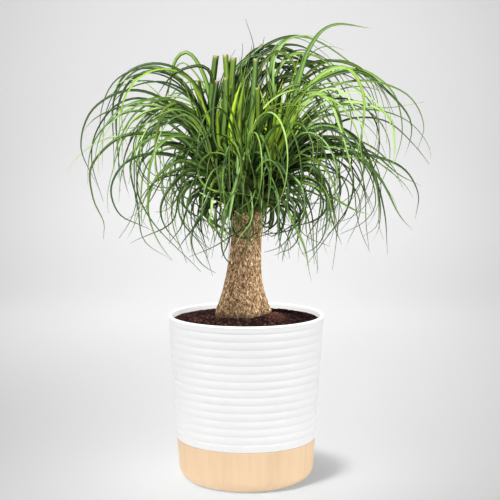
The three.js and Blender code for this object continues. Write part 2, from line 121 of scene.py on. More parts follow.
# The compass of a shoot is in degrees, anticlockwise from +X seen from above
Shoot = namedtuple("Shoot", "name compass seat_height vigour seed trimmed_leaves")
SHOOTS = [
    Shoot("shoot_front", 270, 281, 0.92, 59, 0),
    Shoot("shoot_front_right", 330, 279, 0.98, 11, 0),
    Shoot("shoot_back_right", 30, 282, 1.02, 23, 1),
    Shoot("shoot_back", 90, 284, 1.03, 37, 1),
    Shoot("shoot_back_left", 150, 281, 0.88, 41, 1),
    Shoot("shoot_front_left", 210, 283, 0.87, 67, 1),
]
SHOOT_SEAT_RADIUS = 15.5
SHOOT_LEAN = 33
SHOOT_LENGTH = 48
SHOOT_WIDEST = 7.4
SHOOT_SIDES = 16
SHARE_HALF_ANGLE = 180 / len(SHOOTS)
SHARE_MARGIN = 4.2

# Leaves of the solids
LEAVES_PER_SHOOT = 19
YOUNG_PER_SHOOT = 2
FINE_STEPS = 60
LEAF_WIDTH = 4.7
PLACED_ROOT = 0.75
GOLDEN = 0.6180339887

# Leaves that only this model has
COMPANIONS_PER_SHOOT = 13
FILLING_PER_SHOOT = 9
WISPS_PER_SHOOT = 3
BRIGHT_PER_SHOOT = 5
SCALES_PER_SHOOT = 26
SKIRT_PER_SHOOT = 5
INNER_PER_SHOOT = 7

# How low these may hang, and how far they may reach past the box of the solids
LOWEST_TIP = 212
BOX_SLACK = 6

# Where the plant is looked at from: how far in front of the axis and how high
VIEW_DISTANCE = 1320
VIEW_HEIGHT = 390


def mix(a, b, share):
    return a + (b - a) * share


def ease(t):
    c = min(1, max(0, t))
    return c * c * (3 - 2 * c)


def random_from(seed):
    """The same repeatable random numbers from 0 to 1 that the solids use."""
    state = seed

    def draw():
        nonlocal state
        state = (state + 0x6D2B79F5) & 0xFFFFFFFF
        t = state
        t = ((t ^ (t >> 15)) * (t | 1)) & 0xFFFFFFFF
        t ^= (t + (((t ^ (t >> 7)) * (t | 61)) & 0xFFFFFFFF)) & 0xFFFFFFFF
        return ((t ^ (t >> 14)) & 0xFFFFFFFF) / 4294967296

    return draw


def along_steps(start, stop, count):
    return [mix(start, stop, i / (count - 1)) for i in range(count)]


def around(sides):
    return [math.tau * j / sides for j in range(sides)]


def sampled(points, at, known=None):
    """Points at places between known ones, which are by default counted from 0."""
    known = np.arange(len(points)) if known is None else known
    return np.stack([np.interp(at, known, points[:, i]) for i in range(3)], 1)


# Meshes
def make_piece(name, points, faces, material, attributes=None):
    """A smooth-shaded mesh from points in millimetres."""
    mesh = bpy.data.meshes.new(name)
    mesh.from_pydata((np.asarray(points) * MM).tolist(), [], faces)
    mesh.update()
    mesh.shade_smooth()
    for key, values in (attributes or {}).items():
        layer = mesh.attributes.new(key, "FLOAT", "POINT")
        layer.data.foreach_set("value", np.asarray(values, dtype=np.float32))
    mesh.materials.append(material)
    piece = bpy.data.objects.new(name, mesh)
    bpy.context.scene.collection.objects.link(piece)
    return piece


def ring_faces(rings, sides, offset=0):
    """Quads between rings of points that are stored one after another."""
    faces = []
    for k in range(rings - 1):
        for j in range(sides):
            a = offset + k * sides + j
            b = offset + k * sides + (j + 1) % sides
            faces.append((a, b, b + sides, a + sides))
    return faces


def fan_faces(centre, first, sides, outwards):
    """Triangles from a point to a ring."""
    faces = []
    for j in range(sides):
        a = first + j
        b = first + (j + 1) % sides
        faces.append((centre, a, b) if outwards else (centre, b, a))
    return faces


def closed_stack(rings, bottom, top):
    """Points and faces of a closed skin over rings of equal size, which run anticlockwise seen from
    the top, closed by a point at each end."""
    sides = len(rings[0])
    points = [bottom, *[p for ring in rings for p in ring], top]
    faces = fan_faces(0, 1, sides, False)
    faces += ring_faces(len(rings), sides, 1)
    faces += fan_faces(len(points) - 1, 1 + (len(rings) - 1) * sides, sides, True)
    return points, faces


def add_part(points, faces, more_points, more_faces):
    """Adds a further part to the points and faces of a piece."""
    start = len(points)
    points.extend(more_points)
    faces.extend(tuple(start + i for i in face) for face in more_faces)


def round_ring(radius, z, sides):
    return [(radius * math.cos(angle), radius * math.sin(angle), z) for angle in around(sides)]


def turned(profile):
    """A turned body from (radius, height) points that start and end on the axis."""
    rings = [round_ring(radius, z, TURNED_SIDES) for radius, z in profile[1:-1]]
    return closed_stack(rings, (0, 0, profile[0][1]), (0, 0, profile[-1][1]))


def round_corner(centre_radius, centre_height, radius, start, stop, count):
    points = []
    for degrees in along_steps(start, stop, count):
        angle = math.radians(degrees)
        points.append((centre_radius + radius * math.cos(angle), centre_height + radius * math.sin(angle)))
    return points


# Materials
class Nodes:
    """A material's node tree, built up node by node."""

    def __init__(self, name):
        self.material = bpy.data.materials.new(name)
        self.material.use_nodes = True
        self.tree = self.material.node_tree
        self.shader = self.tree.nodes["Principled BSDF"]

    def add(self, kind, inputs=None, **settings):
        node = self.tree.nodes.new("ShaderNode" + kind)
        for key, value in settings.items():
            setattr(node, key, value)
        for key, value in (inputs or {}).items():
            if isinstance(value, bpy.types.NodeSocket):
                self.tree.links.new(value, node.inputs[key])
            else:
                node.inputs[key].default_value = value
        return node

    def link(self, socket, name):
        self.tree.links.new(socket, self.shader.inputs[name])

    def set(self, **values):
        for key, value in values.items():
            self.shader.inputs[key.replace("_", " ")].default_value = value

    def attribute(self, name):
        return self.add("Attribute", attribute_name=name).outputs["Fac"]

    def coordinates(self, scale=(1, 1, 1)):
        place = self.add("TexCoord").outputs["Object"]
        return self.add("Mapping", {"Vector": place, "Scale": scale}).outputs["Vector"]

    def noise(self, vector, scale, detail=3.0, roughness=0.5):
        inputs = {"Vector": vector, "Scale": scale, "Detail": detail, "Roughness": roughness}
        return self.add("TexNoise", inputs).outputs["Fac"]

    def ramp(self, factor, stops):
        node = self.add("ValToRGB", {"Fac": factor})
        elements = node.color_ramp.elements
        for k, (position, colour) in enumerate(stops):
            element = elements[k] if k < 2 else elements.new(position)
            element.position = position
            element.color = (*colour, 1)
        return node.outputs["Color"]

    def span(self, value, low, high, to_low=0.0, to_high=1.0):
        inputs = {"Value": value, "From Min": low, "From Max": high, "To Min": to_low, "To Max": to_high}
        return self.add("MapRange", inputs).outputs["Result"]

    def math(self, operation, a, b=0.0):
        return self.add("Math", {0: a, 1: b}, operation=operation).outputs[0]

    def blend(self, factor, a, b, mode="MIX"):
        node = self.add("Mix", data_type="RGBA", blend_type=mode)
        for key, value in (("Factor", factor), ("A", a), ("B", b)):
            socket = [s for s in node.inputs if s.name == key and s.enabled][0]
            if isinstance(value, bpy.types.NodeSocket):
                self.tree.links.new(value, socket)
            else:
                socket.default_value = value if key == "Factor" else (*value, 1)
        return [s for s in node.outputs if s.enabled][0]

    def times(self, a, b):
        return self.blend(1.0, a, b, "MULTIPLY")

    def bump(self, height, strength, distance):
        node = self.add("Bump", {"Height": height, "Strength": strength, "Distance": distance})
        self.link(node.outputs["Normal"], "Normal")


def glaze_material():
    nodes = Nodes("planter_glaze")
    place = nodes.coordinates()
    clouds = nodes.noise(place, 18, 4)
    colour = nodes.ramp(clouds, [(0.3, (0.89, 0.89, 0.888)), (0.7, (0.92, 0.92, 0.918))])
    nodes.link(colour, "Base Color")
    nodes.link(nodes.span(nodes.noise(place, 60, 3), 0.3, 0.7, 0.4, 0.52), "Roughness")
    nodes.bump(nodes.noise(place, 900, 2), 0.06, 0.0004)
    return nodes.material


def wood_material():
    nodes = Nodes("base_wood")
    grain = nodes.noise(nodes.coordinates((150, 150, 5)), 1.0, 5, 0.6)
    broad = nodes.noise(nodes.coordinates((26, 26, 2)), 1.0, 2)
    fibres = nodes.noise(nodes.coordinates((900, 900, 30)), 1.0, 2)
    stops = [(0.3, (0.87, 0.62, 0.385)), (0.55, (0.91, 0.66, 0.425)), (0.75, (0.93, 0.7, 0.47))]
    colour = nodes.ramp(grain, stops)
    tint = nodes.ramp(broad, [(0.35, (0.97, 0.96, 0.94)), (0.65, (1, 1, 1))])
    nodes.link(nodes.times(colour, tint), "Base Color")
    nodes.link(nodes.span(fibres, 0.3, 0.7, 0.5, 0.68), "Roughness")
    nodes.bump(fibres, 0.12, 0.0003)
    return nodes.material


def soil_material():
    nodes = Nodes("potting_soil")
    place = nodes.coordinates()
    grit = nodes.noise(place, 320, 5, 0.62)
    patches = nodes.noise(place, 110, 3)
    stops = [(0.4, (0.004, 0.002, 0.002)), (0.53, (0.018, 0.007, 0.006)), (0.66, (0.15, 0.07, 0.058))]
    colour = nodes.ramp(grit, stops)
    tint = nodes.ramp(patches, [(0.35, (0.45, 0.36, 0.35)), (0.65, (1.15, 0.95, 0.9))])
    mixed = nodes.times(colour, tint)
    red = nodes.attribute("heap")
    nodes.link(nodes.blend(red, mixed, (0.13, 0.055, 0.035)), "Base Color")
    nodes.set(Roughness=0.95, Specular_IOR_Level=0.1)
    nodes.bump(grit, 0.8, 0.0012)
    return nodes.material


def bark_material():
    nodes = Nodes("bark")
    place = nodes.coordinates((1, 1, 0.5))
    fine = nodes.noise(place, 800, 3, 0.6)
    flakes = nodes.noise(place, 430, 4, 0.65)
    broad = nodes.noise(nodes.coordinates((1, 1, 0.2)), 60, 3)
    height = nodes.attribute("height")
    browns = [(0.34, (0.13, 0.065, 0.035)), (0.44, (0.285, 0.185, 0.1)), (0.56, (0.45, 0.315, 0.185))]
    base = nodes.ramp(flakes, [*browns, (0.66, (0.78, 0.63, 0.45))])
    stops = [(0.38, (0.25, 0.19, 0.14)), (0.5, (1, 0.96, 0.93)), (0.63, (1.8, 1.74, 1.66))]
    speckle = nodes.ramp(fine, stops)
    colour = nodes.times(base, speckle)
    tint = nodes.ramp(broad, [(0.35, (0.85, 0.82, 0.8)), (0.65, (1.1, 1.08, 1.02))])
    colour = nodes.times(colour, tint)
    # Painted shade: the bark's colour is darkened in its cracks and where the trunk meets the soil
    painted_shade = nodes.span(height, 0.0, 0.45, 1.0, 0.0)
    nodes.link(nodes.blend(nodes.math("MULTIPLY", painted_shade, 0.7), colour, (0.06, 0.035, 0.02)), "Base Color")
    nodes.set(Roughness=0.9, Specular_IOR_Level=0.2)
    nodes.bump(fine, 0.5, 0.0007)
    return nodes.material


def leaf_material():
    nodes = Nodes("leaf")
    tone = nodes.attribute("tone")
    young = nodes.attribute("young")
    across = nodes.attribute("across")
    along = nodes.attribute("along")
    greens = [(0.0, (0.004, 0.013, 0.004)), (0.35, (0.018, 0.054, 0.012)), (0.7, (0.088, 0.178, 0.034))]
    base = nodes.ramp(tone, [*greens, (1.0, (0.26, 0.39, 0.13))])
    fresh = nodes.blend(young, base, (0.33, 0.5, 0.02))
    crosswise = nodes.math("MULTIPLY", across, 7.0)
    leaf_number = nodes.math("MULTIPLY", tone, 53.0)
    place = nodes.add("CombineXYZ", {"X": crosswise, "Y": along, "Z": leaf_number})
    veins = nodes.noise(place.outputs["Vector"], 2.2, 2)
    stripes = nodes.ramp(veins, [(0.3, (0.65, 0.7, 0.62)), (0.7, (1.3, 1.25, 1.25))])
    striped = nodes.times(fresh, stripes)
    # Lighter along the middle: a pale midrib together with a painted highlight along it. Darker at the edges:
    # a darker margin together with painted shade.
    aside = nodes.math("ABSOLUTE", nodes.math("SUBTRACT", across, 0.5))
    groove = nodes.span(aside, 0.0, 0.16, 0.35, 0.0)
    ribbed = nodes.blend(groove, striped, (0.28, 0.42, 0.1))
    rim = nodes.span(aside, 0.3, 0.5, 0.0, 0.55)
    edged = nodes.blend(rim, ribbed, (0.012, 0.04, 0.006))
    pale = nodes.span(along, 0.0, 0.12, 0.1, 0.0)
    rooted = nodes.blend(pale, edged, (0.25, 0.34, 0.1))
    dry = nodes.attribute("dry")
    nodes.link(nodes.blend(dry, rooted, (0.33, 0.24, 0.12)), "Base Color")
    nodes.set(Roughness=0.42, Specular_IOR_Level=0.22)
    nodes.bump(veins, 0.25, 0.0004)
    return nodes.material


def floor_material():
    nodes = Nodes("floor")
    nodes.set(Base_Color=(0.93, 0.93, 0.93, 1), Roughness=0.8, Specular_IOR_Level=0.2)
    return nodes.material


GLAZE = glaze_material()
WOOD = wood_material()
SOIL = soil_material()
BARK = bark_material()
LEAF = leaf_material()
FLOOR = floor_material()


# Wooden base
HOLLOW = BASE_RADIUS - BASE_WALL


def wooden_base():
    profile = [(0, 0), (BASE_FOOT_RADIUS - BASE_FILLET - 0.6, 0)]
    profile += round_corner(BASE_FOOT_RADIUS - BASE_FILLET, BASE_FILLET, BASE_FILLET, -90, -4, 20)
    side = profile[-1]
    for share in (0.3, 0.6, 0.9, 0.99):
        profile.append((mix(side[0], BASE_RADIUS, share), mix(side[1], BASE_HEIGHT - BASE_EDGE, share)))
    profile += round_corner(BASE_RADIUS - BASE_EDGE, BASE_HEIGHT - BASE_EDGE, BASE_EDGE, 0, 90, 5)
    profile += [(HOLLOW + 0.2, BASE_HEIGHT), (HOLLOW, BASE_HEIGHT - 0.2), (HOLLOW - 2, BASE_FLOOR)]
    profile += [(HOLLOW - 2.3, BASE_FLOOR), (0, BASE_FLOOR)]
    points, faces = turned(profile)
    return make_piece("turned_base", points, faces, WOOD)


# Planter
def planter_radius(z):
    return mix(BASE_RADIUS, RIM_RADIUS, (z - BASE_HEIGHT) / (PLANTER_TOP - BASE_HEIGHT))


CAVITY_FLOOR = BASE_FLOOR + SEAT_GAP + CLAY_FLOOR
CAVITY_FLOOR_RADIUS = HOLLOW - 2 - SEAT_GAP - CLAY_WALL
CAVITY_RIM_RADIUS = RIM_RADIUS - CLAY_WALL


def cavity_radius(z):
    return mix(CAVITY_FLOOR_RADIUS, CAVITY_RIM_RADIUS, (z - CAVITY_FLOOR) / (PLANTER_TOP - CAVITY_FLOOR))


def rib_drop(z):
    """How far the wall lies inside its smooth taper: soft ribs between narrow grooves."""
    lowest = RIB_TOP - RIB_COUNT * RIB_PITCH
    if z < lowest:
        return RIB_DEPTH * ease(1 - (lowest - z) / 1.6)
    if z > RIB_TOP:
        return RIB_DEPTH * ease(1 - (z - RIB_TOP) / 1.6)
    away = abs(((z - lowest) / RIB_PITCH) % 1 * 2 - 1)
    return RIB_DEPTH * away**2.2


def planter():
    shoulder = BASE_HEIGHT + SEAT_GAP
    spigot = HOLLOW - SEAT_GAP
    foot = BASE_FLOOR + SEAT_GAP
    profile = [(0, foot), (spigot - 3, foot), (spigot - 2, foot + 1)]
    profile += [(spigot, shoulder), (BASE_RADIUS - 1.2, shoulder)]
    profile += round_corner(planter_radius(shoulder + 1) - 1, shoulder + 1, 1, -80, 0, 5)
    lip_start = PLANTER_TOP - CLAY_WALL / 2
    for z in along_steps(shoulder + 1.4, lip_start - 0.2, 250):
        profile.append((planter_radius(z) - rib_drop(z), z))
    profile += round_corner(RIM_RADIUS - CLAY_WALL / 2, lip_start, CLAY_WALL / 2, 0, 180, 14)
    profile += [(cavity_radius(z), z) for z in along_steps(lip_start - 1, CAVITY_FLOOR + 3, 6)]
    profile += [(CAVITY_FLOOR_RADIUS - 3, CAVITY_FLOOR), (0, CAVITY_FLOOR)]
    points, faces = turned(profile)
    return make_piece("ribbed_planter", points, faces, GLAZE)


# Trunk
def trunk_section(z):
    """Radius and sideways place of the trunk at a height, smooth between the sections."""
    heights = [s[0] for s in TRUNK_SECTIONS]
    k = max(0, min(len(heights) - 2, next((i for i, h in enumerate(heights) if h > z), len(heights)) - 1))
    before = TRUNK_SECTIONS[max(0, k - 1)]
    here = TRUNK_SECTIONS[k]
    there = TRUNK_SECTIONS[k + 1]
    after = TRUNK_SECTIONS[min(len(heights) - 1, k + 2)]
    span = there[0] - here[0]
    t = (z - here[0]) / span

    def smooth(column):
        start = (there[column] - before[column]) / (there[0] - before[0]) * span
        stop = (after[column] - here[column]) / (after[0] - here[0]) * span
        h = t * t * (3 - 2 * t)
        return mix(here[column], there[column], h) + start * t * (1 - t) ** 2 - stop * t * t * (1 - t)

    return smooth(1), smooth(2)


def trunk_radius(angle, z):
    radius, _ = trunk_section(z)
    foot = ease((FOOT_TOP - z) / FOOT_FADE)
    flutes = 0.03 * math.sin(3 * angle + 0.8) + 0.025 * math.sin(5 * angle + 2.1)
    toes = sum(rise * math.exp(-((angle - place) ** 2) / spread) for place, rise, spread in TRUNK_TOES)
    return radius * (1 + (0.4 + 0.6 * foot) * flutes + foot * toes)


def bark_relief(angle, z):
    """Relief of the bark from 0 in a crack, or near and in the soil, to 1 on a plate. The bark is painted
    darker where it is low: painted shade in the cracks and where the trunk meets the soil.
    """
    level = 1.0
    if z >= BARK_BOTTOM:
        radius, _ = trunk_section(z)
        spot = Vector((math.cos(angle) * radius, math.sin(angle) * radius, z * 0.5))
        spot += noise.noise_vector(spot * 0.12) * 2.2
        near = noise.voronoi(spot / BARK_PLATE)[0]
        edge = min(1.0, (near[1] - near[0]) / 0.3)
        lumps = noise.fractal(spot * 0.35, 0.8, 2.1, 4) * 0.5 + 0.5
        level = min(1.0, max(0.0, 0.55 * edge + 0.45 * lumps))
    return level * ease((z - FOOT_SHADE_TOP) / 5 + level)


def trunk_ring(z, radii):
    """A ring of points round the middle of the trunk."""
    _, x = trunk_section(z)
    angles = around(len(radii))
    return [(x + r * math.cos(angle), r * math.sin(angle), z) for r, angle in zip(radii, angles)]


def trunk():
    noise.seed_set(BARK_SEED)
    bottom, _, bottom_x = TRUNK_SECTIONS[0]
    top, _, top_x = TRUNK_SECTIONS[-1]
    rings = []
    relief = [1.0]
    for z in along_steps(bottom + 0.5, BARK_BOTTOM, 12)[:-1] + along_steps(BARK_BOTTOM, top - 0.6, 190):
        radii = []
        for angle in around(TRUNK_SIDES):
            level = bark_relief(angle, z)
            radii.append(trunk_radius(angle, z) - BARK_DEPTH * (1 - level) ** 1.4)
            relief.append(level)
        rings.append(trunk_ring(z, radii))
    relief.append(1.0)
    points, faces = closed_stack(rings, (bottom_x, 0, bottom), (top_x, 0, top))
    for shoot in SHOOTS:
        axis, seat, _ = shoot_axis(shoot)
        stations = [(-STUB_LENGTH, STUB_RADIUS), (-2, STUB_RADIUS), (-SEAT_GAP, STUB_RADIUS - 0.6)]
        add_part(points, faces, *along_axis(seat, axis, stations, STUB_SIDES))
    relief += [0.7] * (len(points) - len(relief))
    return make_piece("bark_trunk", points, faces, BARK, {"height": relief})


def shoot_axis(shoot):
    compass = math.radians(shoot.compass)
    outward = np.array([math.cos(compass), math.sin(compass), 0.0])
    lean = math.radians(SHOOT_LEAN)
    axis = np.array([0, 0, math.cos(lean)]) + outward * math.sin(lean)
    seat = outward * SHOOT_SEAT_RADIUS + np.array([0, 0, shoot.seat_height])
    return axis, seat, outward


def along_axis(seat, axis, stations, sides):
    side = np.cross((0, 0, 1), axis)
    side /= np.linalg.norm(side)
    other = np.cross(axis, side)
    rings = []
    for distance, radius in stations:
        centre = seat + axis * distance
        angles = around(sides)
        rings.append([tuple(centre + radius * (side * math.cos(a) + other * math.sin(a))) for a in angles])
    first = tuple(seat + axis * stations[0][0])
    last = tuple(seat + axis * stations[-1][0])
    return closed_stack(rings, first, last)


# Soil
def heap_share(x, y):
    return math.exp(-((x - HEAP_X) ** 2 + (y - HEAP_Y) ** 2) / HEAP_SPREAD)


def soil_height(x, y):
    radius = math.hypot(x, y)
    mound = SOIL_MOUND * ease((62 - radius) / 40)
    clods = math.sin(x * 0.61 + 1.3) * math.sin(y * 0.53 + 0.4) + 0.6 * math.sin(x * 1.13 - y * 0.87)
    inner = ease((74.5 - radius) / 10)
    spot = Vector((x, y, 0))
    near = noise.voronoi(spot / SOIL_CRUMB)[0]
    crumbs = 1.7 * max(0.0, 0.75 - near[0]) ** 0.8
    fine = noise.fractal(spot * 0.9, 0.7, 2.0, 4) * 0.6
    rough = (0.5 * clods + crumbs + fine - 0.8) * mix(0.35, 1, inner)
    return SOIL_EDGE + mound + HEAP_HEIGHT * heap_share(x, y) + rough


def soil():
    rings = []
    heap = [0.0]
    floor = CAVITY_FLOOR + SEAT_GAP
    for z in (floor, 60, 120, SOIL_EDGE - 1.5):
        rings.append(round_ring(cavity_radius(z) - 0.4, z, SOIL_SIDES))
        heap += [0.0] * SOIL_SIDES
    outer = cavity_radius(SOIL_EDGE) - 0.4
    _, centre = trunk_section(SOIL_AT_TRUNK)
    for share in along_steps(0, 1, SOIL_ROWS):
        ring = []
        for angle in around(SOIL_SIDES):
            inner = trunk_radius(angle, SOIL_AT_TRUNK + 2) + 0.5
            x = mix(outer * math.cos(angle), centre + inner * math.cos(angle), share)
            y = mix(outer * math.sin(angle), inner * math.sin(angle), share)
            ring.append((x, y, soil_height(x, y)))
            heap.append(0.75 * heap_share(x, y) ** 1.4)
        rings.append(ring)
    for z in HOLE_ROWS:
        rings.append(trunk_ring(z, [trunk_radius(angle, z) + 0.6 for angle in around(SOIL_SIDES)]))
        heap += [0.0] * SOIL_SIDES
    heap.append(0.0)
    points, faces = closed_stack(rings, (0, 0, floor), (-3, 0, 95))
    return make_piece("potting_soil", points, faces, SOIL, {"heap": heap})


# Plans of leaves, with angles in degrees. A leaf starts at a share of its shoot's length, its root, and
# bends from its pitch to its tip's pitch. Its age runs from 0 at the top of the shoot to 1 at the bottom
def ruled(**values):
    """The plan of a leaf, whole, straight on and without a lifted tip unless the values say so."""
    return {"lift": 0, "drift": 0, "bend_to": 1, "cut": False, **values}


def leaf_plans(shoot):
    """Leaves by the rule that the solids follow, with the same draws."""
    draw = random_from(shoot.seed)
    for i in range(LEAVES_PER_SHOOT):
        age = (i + 0.5) / LEAVES_PER_SHOOT
        turn = ((i + 1) * GOLDEN + 0.13 * shoot.seed) % 1
        compass = (2 * turn - 1) * 42
        pitch_jitter = draw() - 0.5
        tip_jitter = draw()
        length_jitter = draw()
        bend_jitter = draw()
        drift_jitter = draw() - 0.5
        width_jitter = draw()
        lift = 110 * max(0, draw() - 0.45) * ease((age - 0.2) / 0.3)
        facing = ease((-math.sin(math.radians(shoot.compass + compass)) - 0.8) / 0.2)
        stands = facing * max(0, 1 - age / 0.45)
        grown = (278 - 204 * age) * (0.8 + 0.32 * length_jitter)
        curl = (105 - 50 * age) * tip_jitter**1.6 * (1 - stands)
        yield ruled(
            compass=compass,
            lift=lift,
            drift=30 * drift_jitter - 0.45 * compass,
            pitch=84 - 68 * age**1.1 + 10 * pitch_jitter - 14 * facing,
            tip_pitch=-84 - curl + 8 * age + 14 * facing + 130 * stands,
            length=grown * shoot.vigour * (1 - 0.2 * facing) * (1 - 0.4 * stands),
            bend_from=0.16 * (1 - age) + 0.06 * bend_jitter,
            bend_to=(0.68 if lift > 0 else 0.88) + 0.14 * bend_jitter,
            root=mix(0.92, 0.13, age),
            width=LEAF_WIDTH * (0.8 + 0.35 * width_jitter),
            age=age,
        )
    upright = {"pitch": 88, "age": 0.05}
    for i in range(YOUNG_PER_SHOOT):
        yield ruled(
            compass=180 + 30 * (i - 0.5) + 20 * (draw() - 0.5),
            tip_pitch=62 + 14 * draw(),
            length=95 + 30 * draw(),
            bend_from=0.2,
            root=0.9,
            width=LEAF_WIDTH,
            **upright,
        )
    for _ in range(shoot.trimmed_leaves):
        yield ruled(
            compass=24 * (draw() - 0.5),
            tip_pitch=76 - 4 * draw(),
            length=92 + 20 * draw(),
            bend_from=0,
            root=0.85,
            width=LEAF_WIDTH * 1.15,
            cut=True,
            **upright,
        )


# Leaves that only this model has, which may reach into the next shoot's share
def filling_plans(vigour, draw):
    """Leaves of all ages that thicken the crown."""
    for _ in range(FILLING_PER_SHOOT):
        age = 0.75 * draw()
        lift = 150 * max(0, draw() - 0.3) * ease((age - 0.2) / 0.3)
        yield ruled(
            compass=(2 * draw() - 1) * mix(110, 50, age),
            lift=lift,
            drift=mix(90, 150, age) * (draw() - 0.5),
            pitch=88 - 66 * age + 16 * (draw() - 0.5),
            tip_pitch=-90 - 110 * draw(),
            length=(275 - 150 * age**1.2) * (0.6 + 0.45 * draw()) * vigour,
            bend_from=0.1 * draw(),
            bend_to=(0.6 if lift > 0 else 0.85) + 0.15 * draw(),
            root=mix(0.95, 0.05, age),
            width=LEAF_WIDTH * (0.4 + 0.65 * draw() ** 2),
            age=age,
        )


def wisp_plans(vigour, draw):
    """Long thin leaves whose tips curl."""
    for _ in range(WISPS_PER_SHOOT):
        age = 0.7 * draw()
        yield ruled(
            compass=(2 * draw() - 1) * 55,
            drift=70 * (draw() - 0.5),
            pitch=82 - 60 * age,
            tip_pitch=-130 - 120 * draw(),
            length=(265 - 120 * age) * (0.75 + 0.3 * draw()) * vigour,
            bend_from=0.1,
            bend_to=0.95,
            root=mix(0.95, 0.4, age),
            width=LEAF_WIDTH * (0.3 + 0.25 * draw()),
            age=age,
        )


def scale_plans(draw):
    """Short broad leaf bases that clothe the shoot, the oldest of them a little dry."""
    for i in range(SCALES_PER_SHOOT):
        root = 0.85 * i / SCALES_PER_SHOOT
        yield ruled(
            compass=360 * ((i * GOLDEN) % 1),
            pitch=62 + 14 * draw(),
            tip_pitch=30 + 30 * draw(),
            length=26 + 26 * draw(),
            bend_from=0,
            root=root,
            width=LEAF_WIDTH * (1.5 + 0.4 * draw()),
            age=1 - root,
            dry=0.15 * max(0.0, 1 - root - 0.55) / 0.45,
            # The scales are painted darker: painted shade inside the crown
            shade=0.5,
        )


# Further kinds of leaf, with one value or a range for each entry of their plans. The bright ones are broad
# and young and stand in the heart of a shoot, those of the skirt are short and old and droop round the
# neck, and the inner ones arch over the middle of the crown
BRIGHT = dict(
    compass=(0, 360),
    drift=(-10, 10),
    pitch=(72, 86),
    tip_pitch=(48, 78),
    length=(60, 125),
    bend_from=0.1,
    root=0.9,
    width=(1.2 * LEAF_WIDTH, 1.7 * LEAF_WIDTH),
    age=0,
)
SKIRT = dict(
    compass=(-100, 100),
    drift=(-60, 60),
    pitch=(5, 40),
    tip_pitch=(-100, -250),
    length=(60, 120),
    bend_from=0.05,
    bend_to=(0.8, 1),
    root=(0, 0.25),
    width=(0.7 * LEAF_WIDTH, 1.1 * LEAF_WIDTH),
    age=0.85,
    # The skirt is painted darker: painted shade under the crown
    shade=0.55,
)
INNER = dict(
    compass=(120, 240),
    drift=(-50, 50),
    pitch=(64, 88),
    tip_pitch=(-70, -130),
    length=(110, 190),
    bend_from=(0, 0.1),
    bend_to=(0.8, 1),
    root=(0.2, 0.9),
    width=(0.6 * LEAF_WIDTH, LEAF_WIDTH),
    age=(0.2, 0.4),
    # The inner ones are painted darker: painted shade inside the crown
    shade=0.7,
)


def drawn_plans(kind, count, draw):
    """Plans of one kind, with a value drawn from each of its ranges in turn."""
    for _ in range(count):
        plan = ruled()
        for key, value in kind.items():
            plan[key] = mix(*value, draw()) if isinstance(value, tuple) else value
        yield plan
